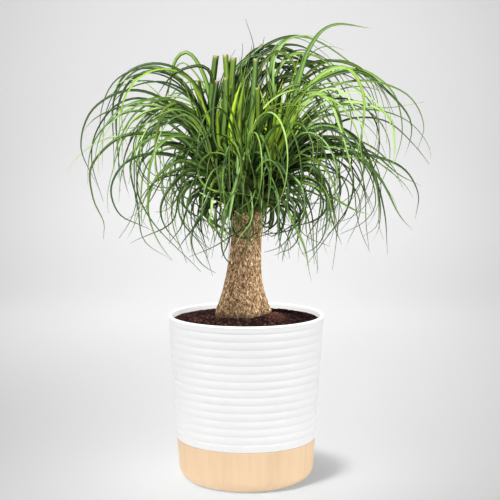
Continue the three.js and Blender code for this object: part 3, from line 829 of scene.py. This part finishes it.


# Leaves that stand out from the crown, placed one by one as in the solids, under the shoot they grow from.
# Each has how far in front of the axis (-) or behind it (+) its tip lies, its width, the angle at which
# its face is turned to the front and its way as (x, z), read from the front in the plane of the axis
PLACED_LEAVES = {
    "shoot_front": [
        (-46, 5.4, 70, [(-20, 370), (-20, 405), (-22, 435)], "cut"),
        (-46, 6, 80, [(-14, 370), (-14, 405), (-12, 432)], "cut"),
        (-44, 5.4, 60, [(5, 360), (8, 400), (10, 431)], "cut"),
        (-60, 5.6, 75, [(12, 330), (17, 312), (17, 285), (19, 250)]),
        (-62, 5.2, 70, [(2, 346), (-2, 336), (-8, 320), (-15, 282)]),
    ],
    "shoot_front_right": [
        (-26, 7, 60, [(42, 360), (52, 405), (62, 441), (76, 461), (92, 467), (126, 461)]),
        (-32, 5, 35, [(50, 385), (85, 415), (118, 420), (145, 398), (164, 366), (156, 334)]),
        (-45, 3.6, 25, [(55, 380), (90, 404), (128, 409), (166, 394), (181, 364), (174, 339)]),
        (-75, 4.6, 35, [(60, 362), (92, 384), (122, 385), (148, 372), (153, 342), (147, 320)]),
        (-88, 5.2, 55, [(50, 372), (72, 396), (86, 389), (96, 360), (107, 305)]),
        (-22, 4.8, 30, [(60, 327), (90, 333), (120, 333), (160, 320), (177, 294), (175, 269)]),
        (-80, 4.4, 35, [(52, 320), (67, 324), (84, 298), (81, 266), (71, 245), (54, 234)]),
        (-50, 4.2, 30, [(70, 345), (105, 340), (132, 314), (156, 272), (172, 257)]),
        (-56, 3.8, 40, [(38, 288), (50, 262), (72, 207)]),
        (-12, 3, 25, [(70, 352), (105, 371), (140, 367), (167, 343), (185, 323)]),
        (-24, 4.6, 70, [(28, 350), (27, 384)], "cut"),
    ],
    "shoot_back_right": [
        (44, 4.4, 30, [(27, 385), (28, 432), (44, 450), (66, 450), (106, 427), (134, 398)]),
        (34, 4.6, 35, [(30, 385), (30, 418), (44, 437), (68, 436), (92, 416), (104, 388)]),
        (62, 4.6, 35, [(32, 375), (38, 408), (56, 425), (80, 422), (100, 400), (110, 370)]),
        (55, 4.8, 30, [(45, 380), (66, 407), (92, 419), (120, 421), (150, 398), (157, 360), (146, 325)]),
        (28, 4.2, 30, [(80, 362), (112, 350), (130, 318), (143, 274), (145, 233)]),
    ],
    "shoot_back": [
        (52, 4.6, 35, [(2, 385), (4, 412), (14, 428), (32, 430), (44, 410)]),
        (40, 5, 40, [(-6, 380), (-6, 415), (4, 433), (18, 445)], "cut"),
        (20, 2.8, 60, [(4, 380), (6, 425), (5, 448), (1, 471)]),
    ],
    "shoot_back_left": [
        (32, 4.4, 30, [(-47, 395), (-72, 420), (-98, 425), (-122, 415), (-135, 390), (-138, 322)]),
        (48, 4.2, 30, [(-50, 382), (-72, 409), (-98, 416), (-120, 405), (-134, 372), (-126, 304)]),
        (22, 3.6, 25, [(-70, 374), (-105, 392), (-130, 385), (-150, 356), (-155, 328), (-148, 286)]),
        (30, 6, 55, [(-38, 395), (-49, 424), (-60, 436), (-69, 430), (-78, 404), (-92, 372)]),
        (15, 3, 25, [(-60, 335), (-100, 353), (-140, 349), (-170, 331), (-184, 317)]),
    ],
    "shoot_front_left": [
        (-26, 3.8, 25, [(-62, 368), (-95, 394), (-125, 397), (-158, 378), (-169, 342), (-150, 303)]),
        (
            -50, 5, 30,
            [(-70, 350), (-100, 354), (-130, 350), (-159, 322), (-156, 290), (-142, 265), (-142, 248)],
        ),
        (-64, 4.4, 30, [(-72, 331), (-100, 333), (-125, 324), (-139, 300), (-130, 272), (-96, 254)]),
        (-75, 5.2, 55, [(-55, 372), (-67, 386), (-82, 380), (-90, 352), (-87, 312), (-74, 292)]),
        (-72, 5.6, 55, [(-58, 318), (-74, 304), (-84, 280), (-82, 258), (-69, 237)]),
        (-66, 3.8, 30, [(-75, 345), (-106, 330), (-112, 300), (-98, 272), (-62, 236), (-43, 215)]),
        (-25, 5, 50, [(-44, 292), (-38, 275), (-21, 245)]),
        (-26, 6, 70, [(-36, 360), (-34, 400), (-30, 434)], "cut"),
    ],
}

# More of them, which only this model has and which may reach into the next shoot's share
FURTHER_LEAVES = {
    "shoot_front": [
        (-75, 2.2, 30, [(8, 290), (2, 262), (-26, 242), (-60, 235)]),
        (-50, 5, 75, [(12, 345), (13, 375), (12, 402)], "cut"),
        (-52, 4.6, 70, [(-30, 345), (-33, 380), (-29, 409)], "cut"),
        (-50, 5.2, 70, [(-21, 345), (-20, 380), (-20, 412)], "cut"),
        (-40, 6, 80, [(-24, 350), (-20, 390), (-13, 431)], "cut"),
        (-60, 6, 80, [(4, 345), (10, 354), (20, 342), (23, 312), (22, 290)]),
        (-72, 5, 70, [(2, 345), (10, 357), (20, 336), (26, 300), (27, 266)]),
        (-62, 3.6, 60, [(-24, 322), (-22, 300), (-8, 281), (8, 268), (13, 244)]),
        (-66, 4, 60, [(-26, 340), (-30, 322), (-27, 295), (-22, 262)]),
    ],
    "shoot_front_right": [
        (-20, 4.6, 55, [(24, 372), (40, 400), (60, 404), (76, 385), (84, 352)]),
        (-50, 5.6, 60, [(40, 372), (58, 396), (73, 399), (86, 393), (94, 374), (102, 328)]),
        (-70, 6, 60, [(40, 355), (54, 365), (64, 346), (67, 312)]),
        (-60, 5, 50, [(50, 380), (75, 412), (100, 419), (117, 398), (123, 365), (117, 320)]),
        (-60, 3.6, 50, [(50, 308), (67, 304), (88, 289), (108, 277), (130, 273)]),
        (-16, 2.4, 30, [(70, 368), (115, 382), (148, 379), (170, 383), (180, 387)]),
        (-25, 3, 30, [(85, 352), (122, 330), (136, 285), (138, 262), (142, 249)]),
        (-78, 2.8, 30, [(60, 325), (82, 306), (90, 275), (89, 258), (84, 244)]),
        (-66, 3, 40, [(62, 350), (96, 352), (124, 342), (150, 318), (160, 300)]),
        (-40, 3.2, 40, [(60, 335), (92, 345), (128, 338), (158, 312), (178, 300)]),
        (-52, 6, 80, [(25, 330), (25, 355), (27, 382)], "cut"),
    ],
    "shoot_back_right": [
        (40, 2.6, 30, [(80, 350), (115, 340), (140, 320), (160, 304), (172, 291)]),
        (60, 2.6, 30, [(85, 345), (118, 325), (130, 285), (120, 267), (96, 252)]),
        (40, 2.4, 30, [(90, 352), (125, 328), (134, 285), (132, 262), (118, 251)]),
    ],
    "shoot_back_left": [
        (60, 3.2, 30, [(-45, 372), (-80, 384), (-110, 360), (-124, 325), (-118, 290)]),
        (12, 2.2, 25, [(-75, 385), (-105, 408), (-125, 404), (-140, 388)]),
        (30, 2.6, 30, [(-70, 372), (-116, 330), (-112, 285), (-106, 246), (-75, 224)]),
    ],
    "shoot_front_left": [
        (-35, 5.6, 60, [(-34, 400), (-42, 419), (-60, 418), (-75, 410), (-92, 394)]),
        (-60, 5, 50, [(-60, 368), (-73, 379), (-84, 368), (-86, 340), (-75, 308)]),
        (-55, 4.6, 50, [(-33, 297), (-42, 279), (-52, 261), (-71, 238)]),
        (-45, 2.4, 30, [(-65, 300), (-76, 268), (-98, 251), (-117, 240)]),
        (-60, 4.4, 45, [(-55, 362), (-80, 366), (-104, 350), (-112, 322), (-104, 290)]),
        (-45, 3.4, 30, [(-55, 378), (-84, 392), (-112, 378), (-128, 345), (-132, 312)]),
    ],
}

# Leaves that hang in front of the trunk's top
NECK_LEAVES = {
    "shoot_front": [
        (-66, 7.5, 50, [(-3, 330), (-5, 342), (-9, 324), (-12, 299), (-19, 272)]),
        (-64, 8, 55, [(8, 318), (15, 318), (17, 300), (16, 282), (13, 262)]),
        (-60, 4.5, 40, [(4, 322), (10, 312), (6, 292), (-4, 278), (-14, 268)]),
        (-58, 5.5, 45, [(-2, 316), (-3, 300), (2, 278), (8, 262), (12, 240)]),
    ],
    "shoot_front_right": [
        (-50, 6.5, 50, [(24, 312), (30, 304), (33, 284), (28, 262)]),
    ],
    "shoot_front_left": [
        (-60, 8, 50, [(-18, 312), (-30, 306), (-41, 290), (-48, 270)]),
        (-50, 6.5, 50, [(-22, 300), (-36, 292), (-38, 275), (-28, 258), (-19, 243)]),
    ],
}

# The mane that sweeps from the middle over the right, and the shaded leaves under it, all painted darker:
# painted shade
MANE_LEAVES = {
    "shoot_back_right": [
        (40, 5, 50, [(8, 385), (18, 412), (38, 424), (64, 420), (88, 402), (106, 370)]),
        (30, 5, 50, [(14, 372), (28, 402), (50, 412), (74, 402), (90, 376), (96, 340)]),
        (20, 4.6, 60, [(10, 400), (22, 430), (34, 436), (46, 425), (54, 385), (56, 350)]),
        (70, 4.4, 45, [(24, 390), (44, 416), (74, 428), (104, 424), (132, 404), (150, 372)]),
        (30, 6, 60, [(12, 380), (22, 406), (40, 416), (60, 412), (76, 396), (88, 366)]),
        (20, 7, 75, [(22, 355), (40, 380), (58, 394)]),
        (26, 7, 75, [(16, 360), (30, 390), (48, 408)]),
    ],
    "shoot_back": [
        (60, 5.6, 55, [(-6, 400), (2, 430), (20, 444), (40, 451), (60, 451), (88, 440)]),
        (50, 5.4, 50, [(-8, 392), (-4, 420), (12, 438), (34, 442), (60, 434), (84, 414)]),
        (45, 5, 50, [(-2, 385), (6, 415), (24, 431), (48, 432), (76, 418), (100, 390)]),
        (30, 4.6, 50, [(-14, 380), (-16, 410), (-2, 432), (22, 437), (44, 424), (56, 400)]),
        (55, 6, 60, [(-8, 395), (0, 424), (18, 439), (38, 446), (56, 444), (80, 428)]),
        (40, 6, 60, [(-4, 388), (2, 416), (18, 434), (40, 437), (62, 426), (80, 402)]),
        (35, 6, 60, [(0, 380), (8, 408), (24, 422), (44, 422), (64, 408), (78, 382)]),
        (58, 5, 55, [(-10, 385), (-8, 414), (8, 430), (30, 428), (52, 412), (66, 384)]),
        (24, 8, 75, [(2, 360), (6, 385), (14, 408)]),
        (30, 8, 75, [(10, 360), (18, 388), (28, 410)]),
        (26, 8, 75, [(14, 355), (26, 385), (40, 404)]),
        (34, 8, 75, [(20, 355), (36, 385), (50, 402)]),
        (22, 8, 75, [(-4, 360), (-4, 390), (-2, 412)]),
        (28, 8, 75, [(8, 360), (10, 390), (20, 416)]),
    ],
    "shoot_back_left": [
        (20, 7, 75, [(-20, 360), (-26, 388), (-24, 412)]),
        (24, 7, 75, [(-24, 358), (-36, 384), (-40, 404)]),
    ],
}
# How far the mane's leaves are darkened: painted shade
MANE_PAINTED_SHADE = 0.3

# Broad bright young leaves in the middle
YOUNG_LEAVES = {
    "shoot_front": [
        (-50, 9, 75, [(-14, 349), (-12, 380), (-5, 408)]),
        (-44, 9, 70, [(-6, 350), (-6, 380), (-1, 411)]),
        (-44, 7, 75, [(14, 350), (16, 375), (17, 392)]),
        (-48, 7.5, 75, [(-24, 340), (-28, 365), (-29, 385)]),
    ],
    "shoot_front_right": [
        (-64, 8.5, 75, [(26, 335), (36, 362), (46, 392)]),
        (-68, 8, 70, [(24, 335), (33, 366), (37, 396)]),
        (-60, 8, 70, [(28, 330), (44, 360), (56, 390)]),
        (-66, 8, 75, [(21, 330), (28, 358), (30, 388)]),
        (-40, 7, 70, [(32, 335), (50, 360), (66, 376)]),
    ],
    "shoot_back_right": [
        (0, 7, 70, [(20, 350), (30, 388), (38, 412)]),
    ],
    "shoot_back": [
        (50, 8, 75, [(-6, 350), (-10, 380), (-8, 405)]),
        (46, 7, 75, [(2, 350), (6, 380), (10, 400)]),
    ],
    "shoot_back_left": [
        (0, 7, 70, [(-26, 350), (-42, 384), (-56, 408)]),
    ],
    "shoot_front_left": [
        (-44, 8, 70, [(-28, 345), (-38, 372), (-47, 396)]),
        (-48, 7, 75, [(-26, 345), (-31, 372), (-37, 392)]),
        (-46, 7, 70, [(-32, 340), (-46, 360), (-60, 376)]),
    ],
}


def bend_share(plan, u):
    t = (u - plan["bend_from"]) / (plan["bend_to"] - plan["bend_from"])
    return mix(min(1, max(0, t)), ease(t), 0.5)


def kept_to_share(shoot, point):
    """The point, pressed softly towards the middle of its shoot's share of the crown."""
    _, _, outward = shoot_axis(shoot)
    across = np.cross((0, 0, 1), outward)
    out = float(point @ outward)
    aside = float(point @ across)
    half = math.radians(SHARE_HALF_ANGLE)
    room = max(1, out * math.tan(half) - SHARE_MARGIN / math.cos(half))
    soft = 0.8 * room
    over = abs(aside) - soft
    if over <= 0:
        return point.copy()
    held = math.copysign(soft + (room - soft) * (1 - math.exp(-over / (room - soft))), aside)
    return outward * out + across * held + np.array([0, 0, point[2]])


def ruled_curve(shoot, plan, keep):
    """Points along a leaf that follows the rule, from inside its shoot to the tip."""
    axis, seat, outward = shoot_axis(shoot)
    across = np.cross((0, 0, 1), outward)
    step = plan["length"] / FINE_STEPS
    compass = math.radians(plan["compass"])
    at = seat + axis * SHOOT_LENGTH * plan["root"]
    at = at + outward * 2 * math.cos(compass) + across * 4 * math.sin(2 * compass)
    points = []
    for i in range(FINE_STEPS + 1):
        points.append(kept_to_share(shoot, at) if keep else at)
        u = i / FINE_STEPS
        bent = mix(plan["pitch"], plan["tip_pitch"], bend_share(plan, u))
        pitch = math.radians(bent + plan["lift"] * ease((u - 0.5) / 0.5))
        heading = math.radians(plan["compass"] + plan["drift"] * u)
        level = outward * math.cos(heading) + across * math.sin(heading)
        at = at + step * (level * math.cos(pitch) + np.array([0, 0, math.sin(pitch)]))
    return np.array(points)


def smooth_through(knots, count):
    """Evenly spaced points on a smooth curve through knots."""
    knots = np.array(knots)
    padded = np.vstack([2 * knots[0] - knots[1], knots, 2 * knots[-1] - knots[-2]])
    fine = [knots[0]]
    for k in range(1, len(padded) - 2):
        before, here, there, after = padded[k - 1 : k + 3]
        steps = np.linalg.norm(np.diff(padded[k - 1 : k + 3], axis=0), axis=1)
        first, span, last = np.maximum(1e-4, np.sqrt(steps))
        leaving = (here - before) / first - (there - before) / (first + span) + (there - here) / span
        coming = (there - here) / span - (after - here) / (span + last) + (after - there) / last
        leaving, coming = leaving * span, coming * span
        for t in np.linspace(0, 1, 25)[1:]:
            h = t * t * (3 - 2 * t)
            fine.append(here * (1 - h) + there * h + leaving * t * (1 - t) ** 2 - coming * t * t * (1 - t))
    fine = np.array(fine)
    lengths = np.concatenate([[0], np.cumsum(np.linalg.norm(np.diff(fine, axis=0), axis=1))])
    return sampled(fine, np.linspace(0, lengths[-1], count), lengths)


def placed_curve(shoot, depth, way):
    """Points along a leaf placed one by one."""
    axis, seat, _ = shoot_axis(shoot)
    knots = [seat + axis * SHOOT_LENGTH * PLACED_ROOT]
    for i, (x, z) in enumerate(way):
        y = mix(knots[0][1], depth, (i + 1) / len(way))
        share = (VIEW_DISTANCE + y) / VIEW_DISTANCE
        knots.append(np.array([x * share, y, mix(VIEW_HEIGHT, z, share)]))
    return smooth_through(knots, FINE_STEPS + 1)


def placed_leaves(table, shoot, keep=False, **more):
    """The points and plan of each leaf that a table places on a shoot."""
    leaves = []
    for depth, width, roll, way, *marks in table.get(shoot.name, []):
        points = placed_curve(shoot, depth, way)
        if keep:
            points = np.array([kept_to_share(shoot, point) for point in points])
        leaves.append((points, {"width": width, "roll": roll, "cut": "cut" in marks, "age": 0.3, **more}))
    return leaves


def companions(curves, draw):
    """Leaves that run beside the placed ones, some of them shorter, and thicken the crown."""
    found = []
    for _ in range(COMPANIONS_PER_SHOOT):
        first = curves[int(draw() * len(curves))]
        nearby = sorted(curves, key=lambda other: np.linalg.norm(other[-1] - first[-1]))[1:5]
        second = nearby[int(draw() * len(nearby))]
        points = mix(first, second, 0.15 + 0.5 * draw())
        reach = 0.6 + 0.4 * draw()
        points = sampled(points, np.linspace(0, reach * FINE_STEPS, FINE_STEPS + 1))
        u = np.linspace(0, 1, FINE_STEPS + 1)
        points[:, 1] += 70 * (draw() - 0.5) * u
        points[:, 0] += 28 * (draw() - 0.5) * u
        points[:, 2] += 28 * (draw() - 0.6) * u
        width = LEAF_WIDTH * (0.38 + 0.75 * draw() ** 2)
        plan = dict(width=width, roll=20 + 60 * draw(), age=0.3 + 0.7 * draw(), cut=False)
        if inside_box(points):
            found.append((points, plan))
    return found


def inside_box(points):
    low = np.array(cad_bounds[0]) / MM - BOX_SLACK
    high = np.array(cad_bounds[1]) / MM + BOX_SLACK
    return (points > low).all() and (points < high).all() and points[:, 2].min() > LOWEST_TIP


def free_curve(shoot, plan):
    """A leaf that only this model has, shortened until it stays within the solids' box."""
    for _ in range(12):
        points = ruled_curve(shoot, plan, False)
        if inside_box(points):
            return points
        plan["length"] *= 0.9
    return points


def blade_width(plan, u):
    if plan["cut"]:
        return plan["width"] * (1 + 0.35 * (1 - u))
    sheath = 1 + 0.5 * (1 - ease(u / 0.1))
    fullness = 1.9 if "roll" in plan else 1.35
    return plan["width"] * sheath * (1 - u**fullness) ** 0.9 + 0.5 * (1 - u)


BLADE_ROWS = 37
THICKNESS_AT_ROOT = 0.6
THICKNESS_AT_TIP = 0.325
ALONG = np.linspace(0, 1, BLADE_ROWS)
# A blade's section as shares of its half width, of its cupping and of its thickness
BLADE_SECTION = [
    (-1, 1, 0),
    (-0.5, 0.42, -0.8),
    (0, 0, -1.25),
    (0.5, 0.42, -0.8),
    (1, 1, 0),
    (0.5, 0.42, 0.0),
    (0, 0, 0.0),
    (-0.5, 0.42, 0.0),
]
LEAF_VALUES = ("across", "along", "tone", "young", "dry")


def twist_along(plan, draw):
    """How far a blade is turned about its middle line at each row, in radians."""
    if "roll" not in plan:
        return (draw() - 0.5) * 2.6 * ALONG + (draw() - 0.5) * 1.5
    turning = 0.2 if plan["cut"] else 0.6
    return math.radians(plan["roll"] + 28) * np.minimum(1, 0.4 + 2 * ALONG) + (draw() - 0.5) * turning * ALONG


def blade_frame(points, plan, draw):
    """A blade's middle line, and at each of its rows the directions of its side and of its face."""
    centres = sampled(points, np.linspace(0, len(points) - 1, BLADE_ROWS))
    tangents = np.gradient(centres, axis=0)
    tangents /= np.linalg.norm(tangents, axis=1)[:, None]
    stiff = plan["cut"] or plan["age"] == 0
    reach = centres[-1] - centres[0]
    level = np.array([-reach[1], reach[0], 0.0])
    level /= np.linalg.norm(level)
    if "roll" in plan and stiff:
        level = np.array([0.0, -1.0, 0.0])
    sides = level - tangents * (tangents @ level)[:, None]
    sides /= np.linalg.norm(sides, axis=1)[:, None]
    faces_up = np.cross(tangents, sides)
    sway = 0.0 if stiff else 1.5 + 4 * draw()
    for direction in (sides, faces_up):
        wave = sway * np.sin(ALONG * (5 + 5 * draw()) + math.tau * draw()) * ALONG
        centres = centres + direction * wave[:, None]
    twist = twist_along(plan, draw)
    turn, lift = np.cos(twist)[:, None], np.sin(twist)[:, None]
    return centres, sides * turn + faces_up * lift, faces_up * turn - sides * lift


def blade_values(plan, draw):
    """The LEAF_VALUES of a blade's points, row by row."""
    # A leaf's random tone, darkened by its plan's shade value: painted shade deep in the crown. Cut leaves
    # are darker too.
    tone = draw() * plan.get("shade", 0.55 if plan["cut"] else 1)
    freshest = 1.0 if plan["age"] == 0 else 0.4
    young = max(0.25 * draw() ** 3, freshest * (1 - plan["age"] / 0.15) * (0.4 + 0.6 * draw()))
    tip_dries = draw() > 0.7
    across = np.tile([(s[0] + 1) / 2 for s in BLADE_SECTION], BLADE_ROWS)
    along = np.repeat(ALONG, len(BLADE_SECTION))
    same = np.ones(len(along))
    if "dry" in plan:
        dry = same * plan["dry"]
    elif plan["cut"]:
        dry = np.clip((along - 0.965) / 0.035, 0, 1) * 0.5
    else:
        dry = np.clip((along - 0.93) / 0.07, 0, 1) * (0.8 if tip_dries else 0.0)
    return np.stack([across, along, same * tone, same * young, dry], 1)


def blade(points, plan, draw):
    """The points and faces of a leaf as a thin closed channelled ribbon, and its LEAF_VALUES."""
    centres, sides, faces_up = blade_frame(points, plan, draw)
    width = np.array([blade_width(plan, u) for u in ALONG])
    thickness = mix(THICKNESS_AT_ROOT, THICKNESS_AT_TIP, ALONG)
    cup = width * 0.5 * (0.9 - 0.5 * ALONG)
    lines = []
    for across, raised, under in BLADE_SECTION:
        offset = sides * (across * width / 2)[:, None]
        lines.append(centres + offset + faces_up * (raised * cup + under * thickness)[:, None])
    count = len(BLADE_SECTION)
    faces = ring_faces(BLADE_ROWS, count)
    faces.append(tuple(reversed(range(count))))
    faces.append(tuple(range((BLADE_ROWS - 1) * count, BLADE_ROWS * count)))
    return np.stack(lines, 1).reshape(-1, 3), faces, blade_values(plan, draw)


def slimmed(plan, draw):
    """The same leaf at its natural width, which a solid only reaches at the broadest leaves."""
    return plan if plan["cut"] else {**plan, "width": plan["width"] * (0.45 + 0.65 * draw())}


def leaves_on(shoot, draw):
    """The points and plan of every leaf of a shoot."""
    leaves = [(ruled_curve(shoot, plan, True), slimmed(plan, draw)) for plan in leaf_plans(shoot)]
    leaves += placed_leaves(PLACED_LEAVES, shoot, True)
    leaves += placed_leaves(FURTHER_LEAVES, shoot)
    arched = [points for points, plan in leaves if "roll" in plan and not plan["cut"]]
    leaves += companions(arched, draw)
    leaves += placed_leaves(MANE_LEAVES, shoot, shade=MANE_PAINTED_SHADE)
    leaves += placed_leaves(YOUNG_LEAVES, shoot, age=0)
    plans = [*filling_plans(shoot.vigour, draw), *wisp_plans(shoot.vigour, draw)]
    plans += [*drawn_plans(BRIGHT, BRIGHT_PER_SHOOT, draw), *scale_plans(draw)]
    plans += drawn_plans(SKIRT, SKIRT_PER_SHOOT, draw)
    plans += drawn_plans(INNER, INNER_PER_SHOOT, random_from(shoot.seed + 900))
    leaves += [(free_curve(shoot, plan), plan) for plan in plans]
    return leaves + placed_leaves(NECK_LEAVES, shoot)


def foliage(shoot):
    draw = random_from(shoot.seed + 500)
    axis, seat, _ = shoot_axis(shoot)
    stations = [
        (0, STUB_RADIUS - 0.4),
        (0.35 * SHOOT_LENGTH, SHOOT_WIDEST),
        (0.75 * SHOOT_LENGTH, 0.8 * SHOOT_WIDEST),
        (SHOOT_LENGTH, 0.4 * SHOOT_WIDEST),
    ]
    points, faces = along_axis(seat, axis, stations, SHOOT_SIDES)
    values = [np.tile([0.5, 0.3, 0.1, 0.0, 0.0], (len(points), 1))]
    for curve, plan in leaves_on(shoot, draw):
        leaf_points, leaf_faces, leaf_values = blade(curve, plan, draw)
        add_part(points, faces, leaf_points, leaf_faces)
        values.append(leaf_values)
    attributes = dict(zip(LEAF_VALUES, np.concatenate(values).T))
    return make_piece("leaves_" + shoot.name, points, faces, LEAF, attributes)


def dress(piece, node):
    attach(piece, "root")
    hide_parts(node)


dress(wooden_base(), "wooden_base")
dress(planter(), "planter")
dress(soil(), "soil")
dress(trunk(), "trunk")
for shoot in SHOOTS:
    dress(foliage(shoot), shoot.name)


# Floor and backdrop in one sweep
FLOOR_FRONT = -1.6
FLOOR_BACK = 1.2
SWEEP_RADIUS = 1.6
SWEEP_HEIGHT = 4.0
SWEEP_HALF_WIDTH = 5.0


def floor_sweep():
    outline = [(FLOOR_FRONT, 0.0), (0.0, 0.0), (FLOOR_BACK, 0.0)]
    for degrees in along_steps(0, 90, 24)[1:]:
        angle = math.radians(degrees)
        outline.append((FLOOR_BACK + SWEEP_RADIUS * math.sin(angle), SWEEP_RADIUS * (1 - math.cos(angle))))
    outline.append((FLOOR_BACK + SWEEP_RADIUS, SWEEP_HEIGHT))
    points = [(x, y, z) for y, z in outline for x in (-SWEEP_HALF_WIDTH, SWEEP_HALF_WIDTH)]
    faces = [(2 * k, 2 * k + 1, 2 * k + 3, 2 * k + 2) for k in range(len(outline) - 1)]
    sweep = make_piece("floor_sweep", np.array(points) / MM, faces, FLOOR)


floor_sweep()


# Light and camera
def group(name, *piece_names):
    collection = bpy.data.collections.new(name)
    for piece_name in piece_names:
        collection.objects.link(bpy.data.objects[piece_name])
    return collection


PLANT = group("plant", "potting_soil", *["leaves_" + shoot.name for shoot in SHOOTS])
TRUNK = group("trunk", "bark_trunk")
POT = group("pot", "ribbed_planter", "turned_base")
PLANTER = group("planter", "ribbed_planter")
BASE = group("base", "turned_base")
GROUND = group("ground", "floor_sweep")
# The wood throws no orange light on the floor, as in the photo
bpy.data.objects["turned_base"].visible_diffuse = False


def add_lamp(name, kind, place, target, power, lights_up, blockers):
    """A lamp that lights only one group of pieces. Its data is given back, to be shaped further."""
    data = bpy.data.lights.new(name, kind)
    data.energy = power
    lamp = bpy.data.objects.new(name, data)
    lamp.light_linking.receiver_collection = lights_up
    lamp.light_linking.blocker_collection = blockers
    lamp.location = place
    lamp.rotation_euler = (Vector(target) - Vector(place)).to_track_quat("-Z", "Y").to_euler()
    bpy.context.scene.collection.objects.link(lamp)
    return data


def softbox(name, place, size, power, lights_up, blockers=None):
    """A round softbox aimed at the middle of the plant."""
    data = add_lamp(name, "AREA", place, LIGHT_TARGET, power, lights_up, blockers)
    data.shape = "DISK"
    data.size = size


def backdrop_spot(name, place, target, cone, power, blockers, softness=0.2):
    """A spot with a soft edge, which lights only the floor and the backdrop."""
    data = add_lamp(name, "SPOT", place, target, power, GROUND, blockers)
    data.spot_size = math.radians(cone)
    data.spot_blend = 1
    data.shadow_soft_size = softness


def ground_sun(place, spread, strength):
    """Even light on the floor and the backdrop, in which only the base throws a shadow."""
    data = add_lamp("ground_sun", "SUN", place, (0, 0, 0), strength, GROUND, BASE)
    data.angle = math.radians(spread)


CAMERA_PLACE = (0.0039, -1.32, 0.39)
CAMERA_TILT = 6.6
CAMERA_LENS = 93.6
LIGHT_TARGET = (0, 0, 0.25)

softbox("key", (-0.9, -0.9, 1.6), 0.25, 82, PLANT)
softbox("plant_right", (1.3, -1.2, 0.4), 0.5, 21, PLANT)
softbox("plant_low", (-1.2, -1.3, 0.15), 0.6, 9, PLANT)
softbox("trunk_left", (-1.1, -1.1, 0.3), 0.5, 14, TRUNK)
softbox("trunk_right", (1.3, -0.3, 0.4), 0.5, 23, TRUNK)
softbox("pot_left", (-1.4, -0.8, 0.6), 1.5, 15.4, POT, POT)
softbox("pot_right", (1.4, -0.8, 0.6), 1.5, 15.8, POT, POT)
softbox("pot_front", (0, -0.9, 1.2), 0.8, 3.6, POT, POT)
softbox("pot_inside", (0, -0.08, 1.75), 0.3, 28, PLANTER, POT)
backdrop_spot("backdrop_middle", CAMERA_PLACE, (0, 2.8, 0.3), 33, 226, GROUND)
backdrop_spot("floor_middle", (-0.04, 0.8, 1.5), (-0.04, 0.8, 0), 60, 23, GROUND)
backdrop_spot("floor_far", (0, 1.4, 1.5), (0, 1.5, 0), 70, 15, GROUND)
ground_sun((-0.65, -0.75, 0.8), 14, 0.88)
backdrop_spot("ground_key", (-0.62, -0.72, 0.75), (0.04, 0.05, 0), 31, 23, BASE, 0.25)
backdrop_spot("ground_near", (-0.5, -0.6, 1.15), (0.03, 0.07, 0), 31, 13, BASE, 0.25)

world = bpy.data.worlds.new("studio")
world.use_nodes = True
background = world.node_tree.nodes["Background"]
background.inputs["Color"].default_value = (1, 1, 1, 1)
background.inputs["Strength"].default_value = 0.3
bpy.context.scene.world = world
bpy.context.scene.view_settings.view_transform = "Standard"

camera_data = bpy.data.cameras.new("camera")
camera_data.lens = CAMERA_LENS
camera_data.sensor_width = 36
camera = bpy.data.objects.new("camera", camera_data)
camera.location = CAMERA_PLACE
camera.rotation_euler = (math.radians(90 - CAMERA_TILT), 0, 0)
bpy.context.scene.collection.objects.link(camera)
bpy.context.scene.camera = camera
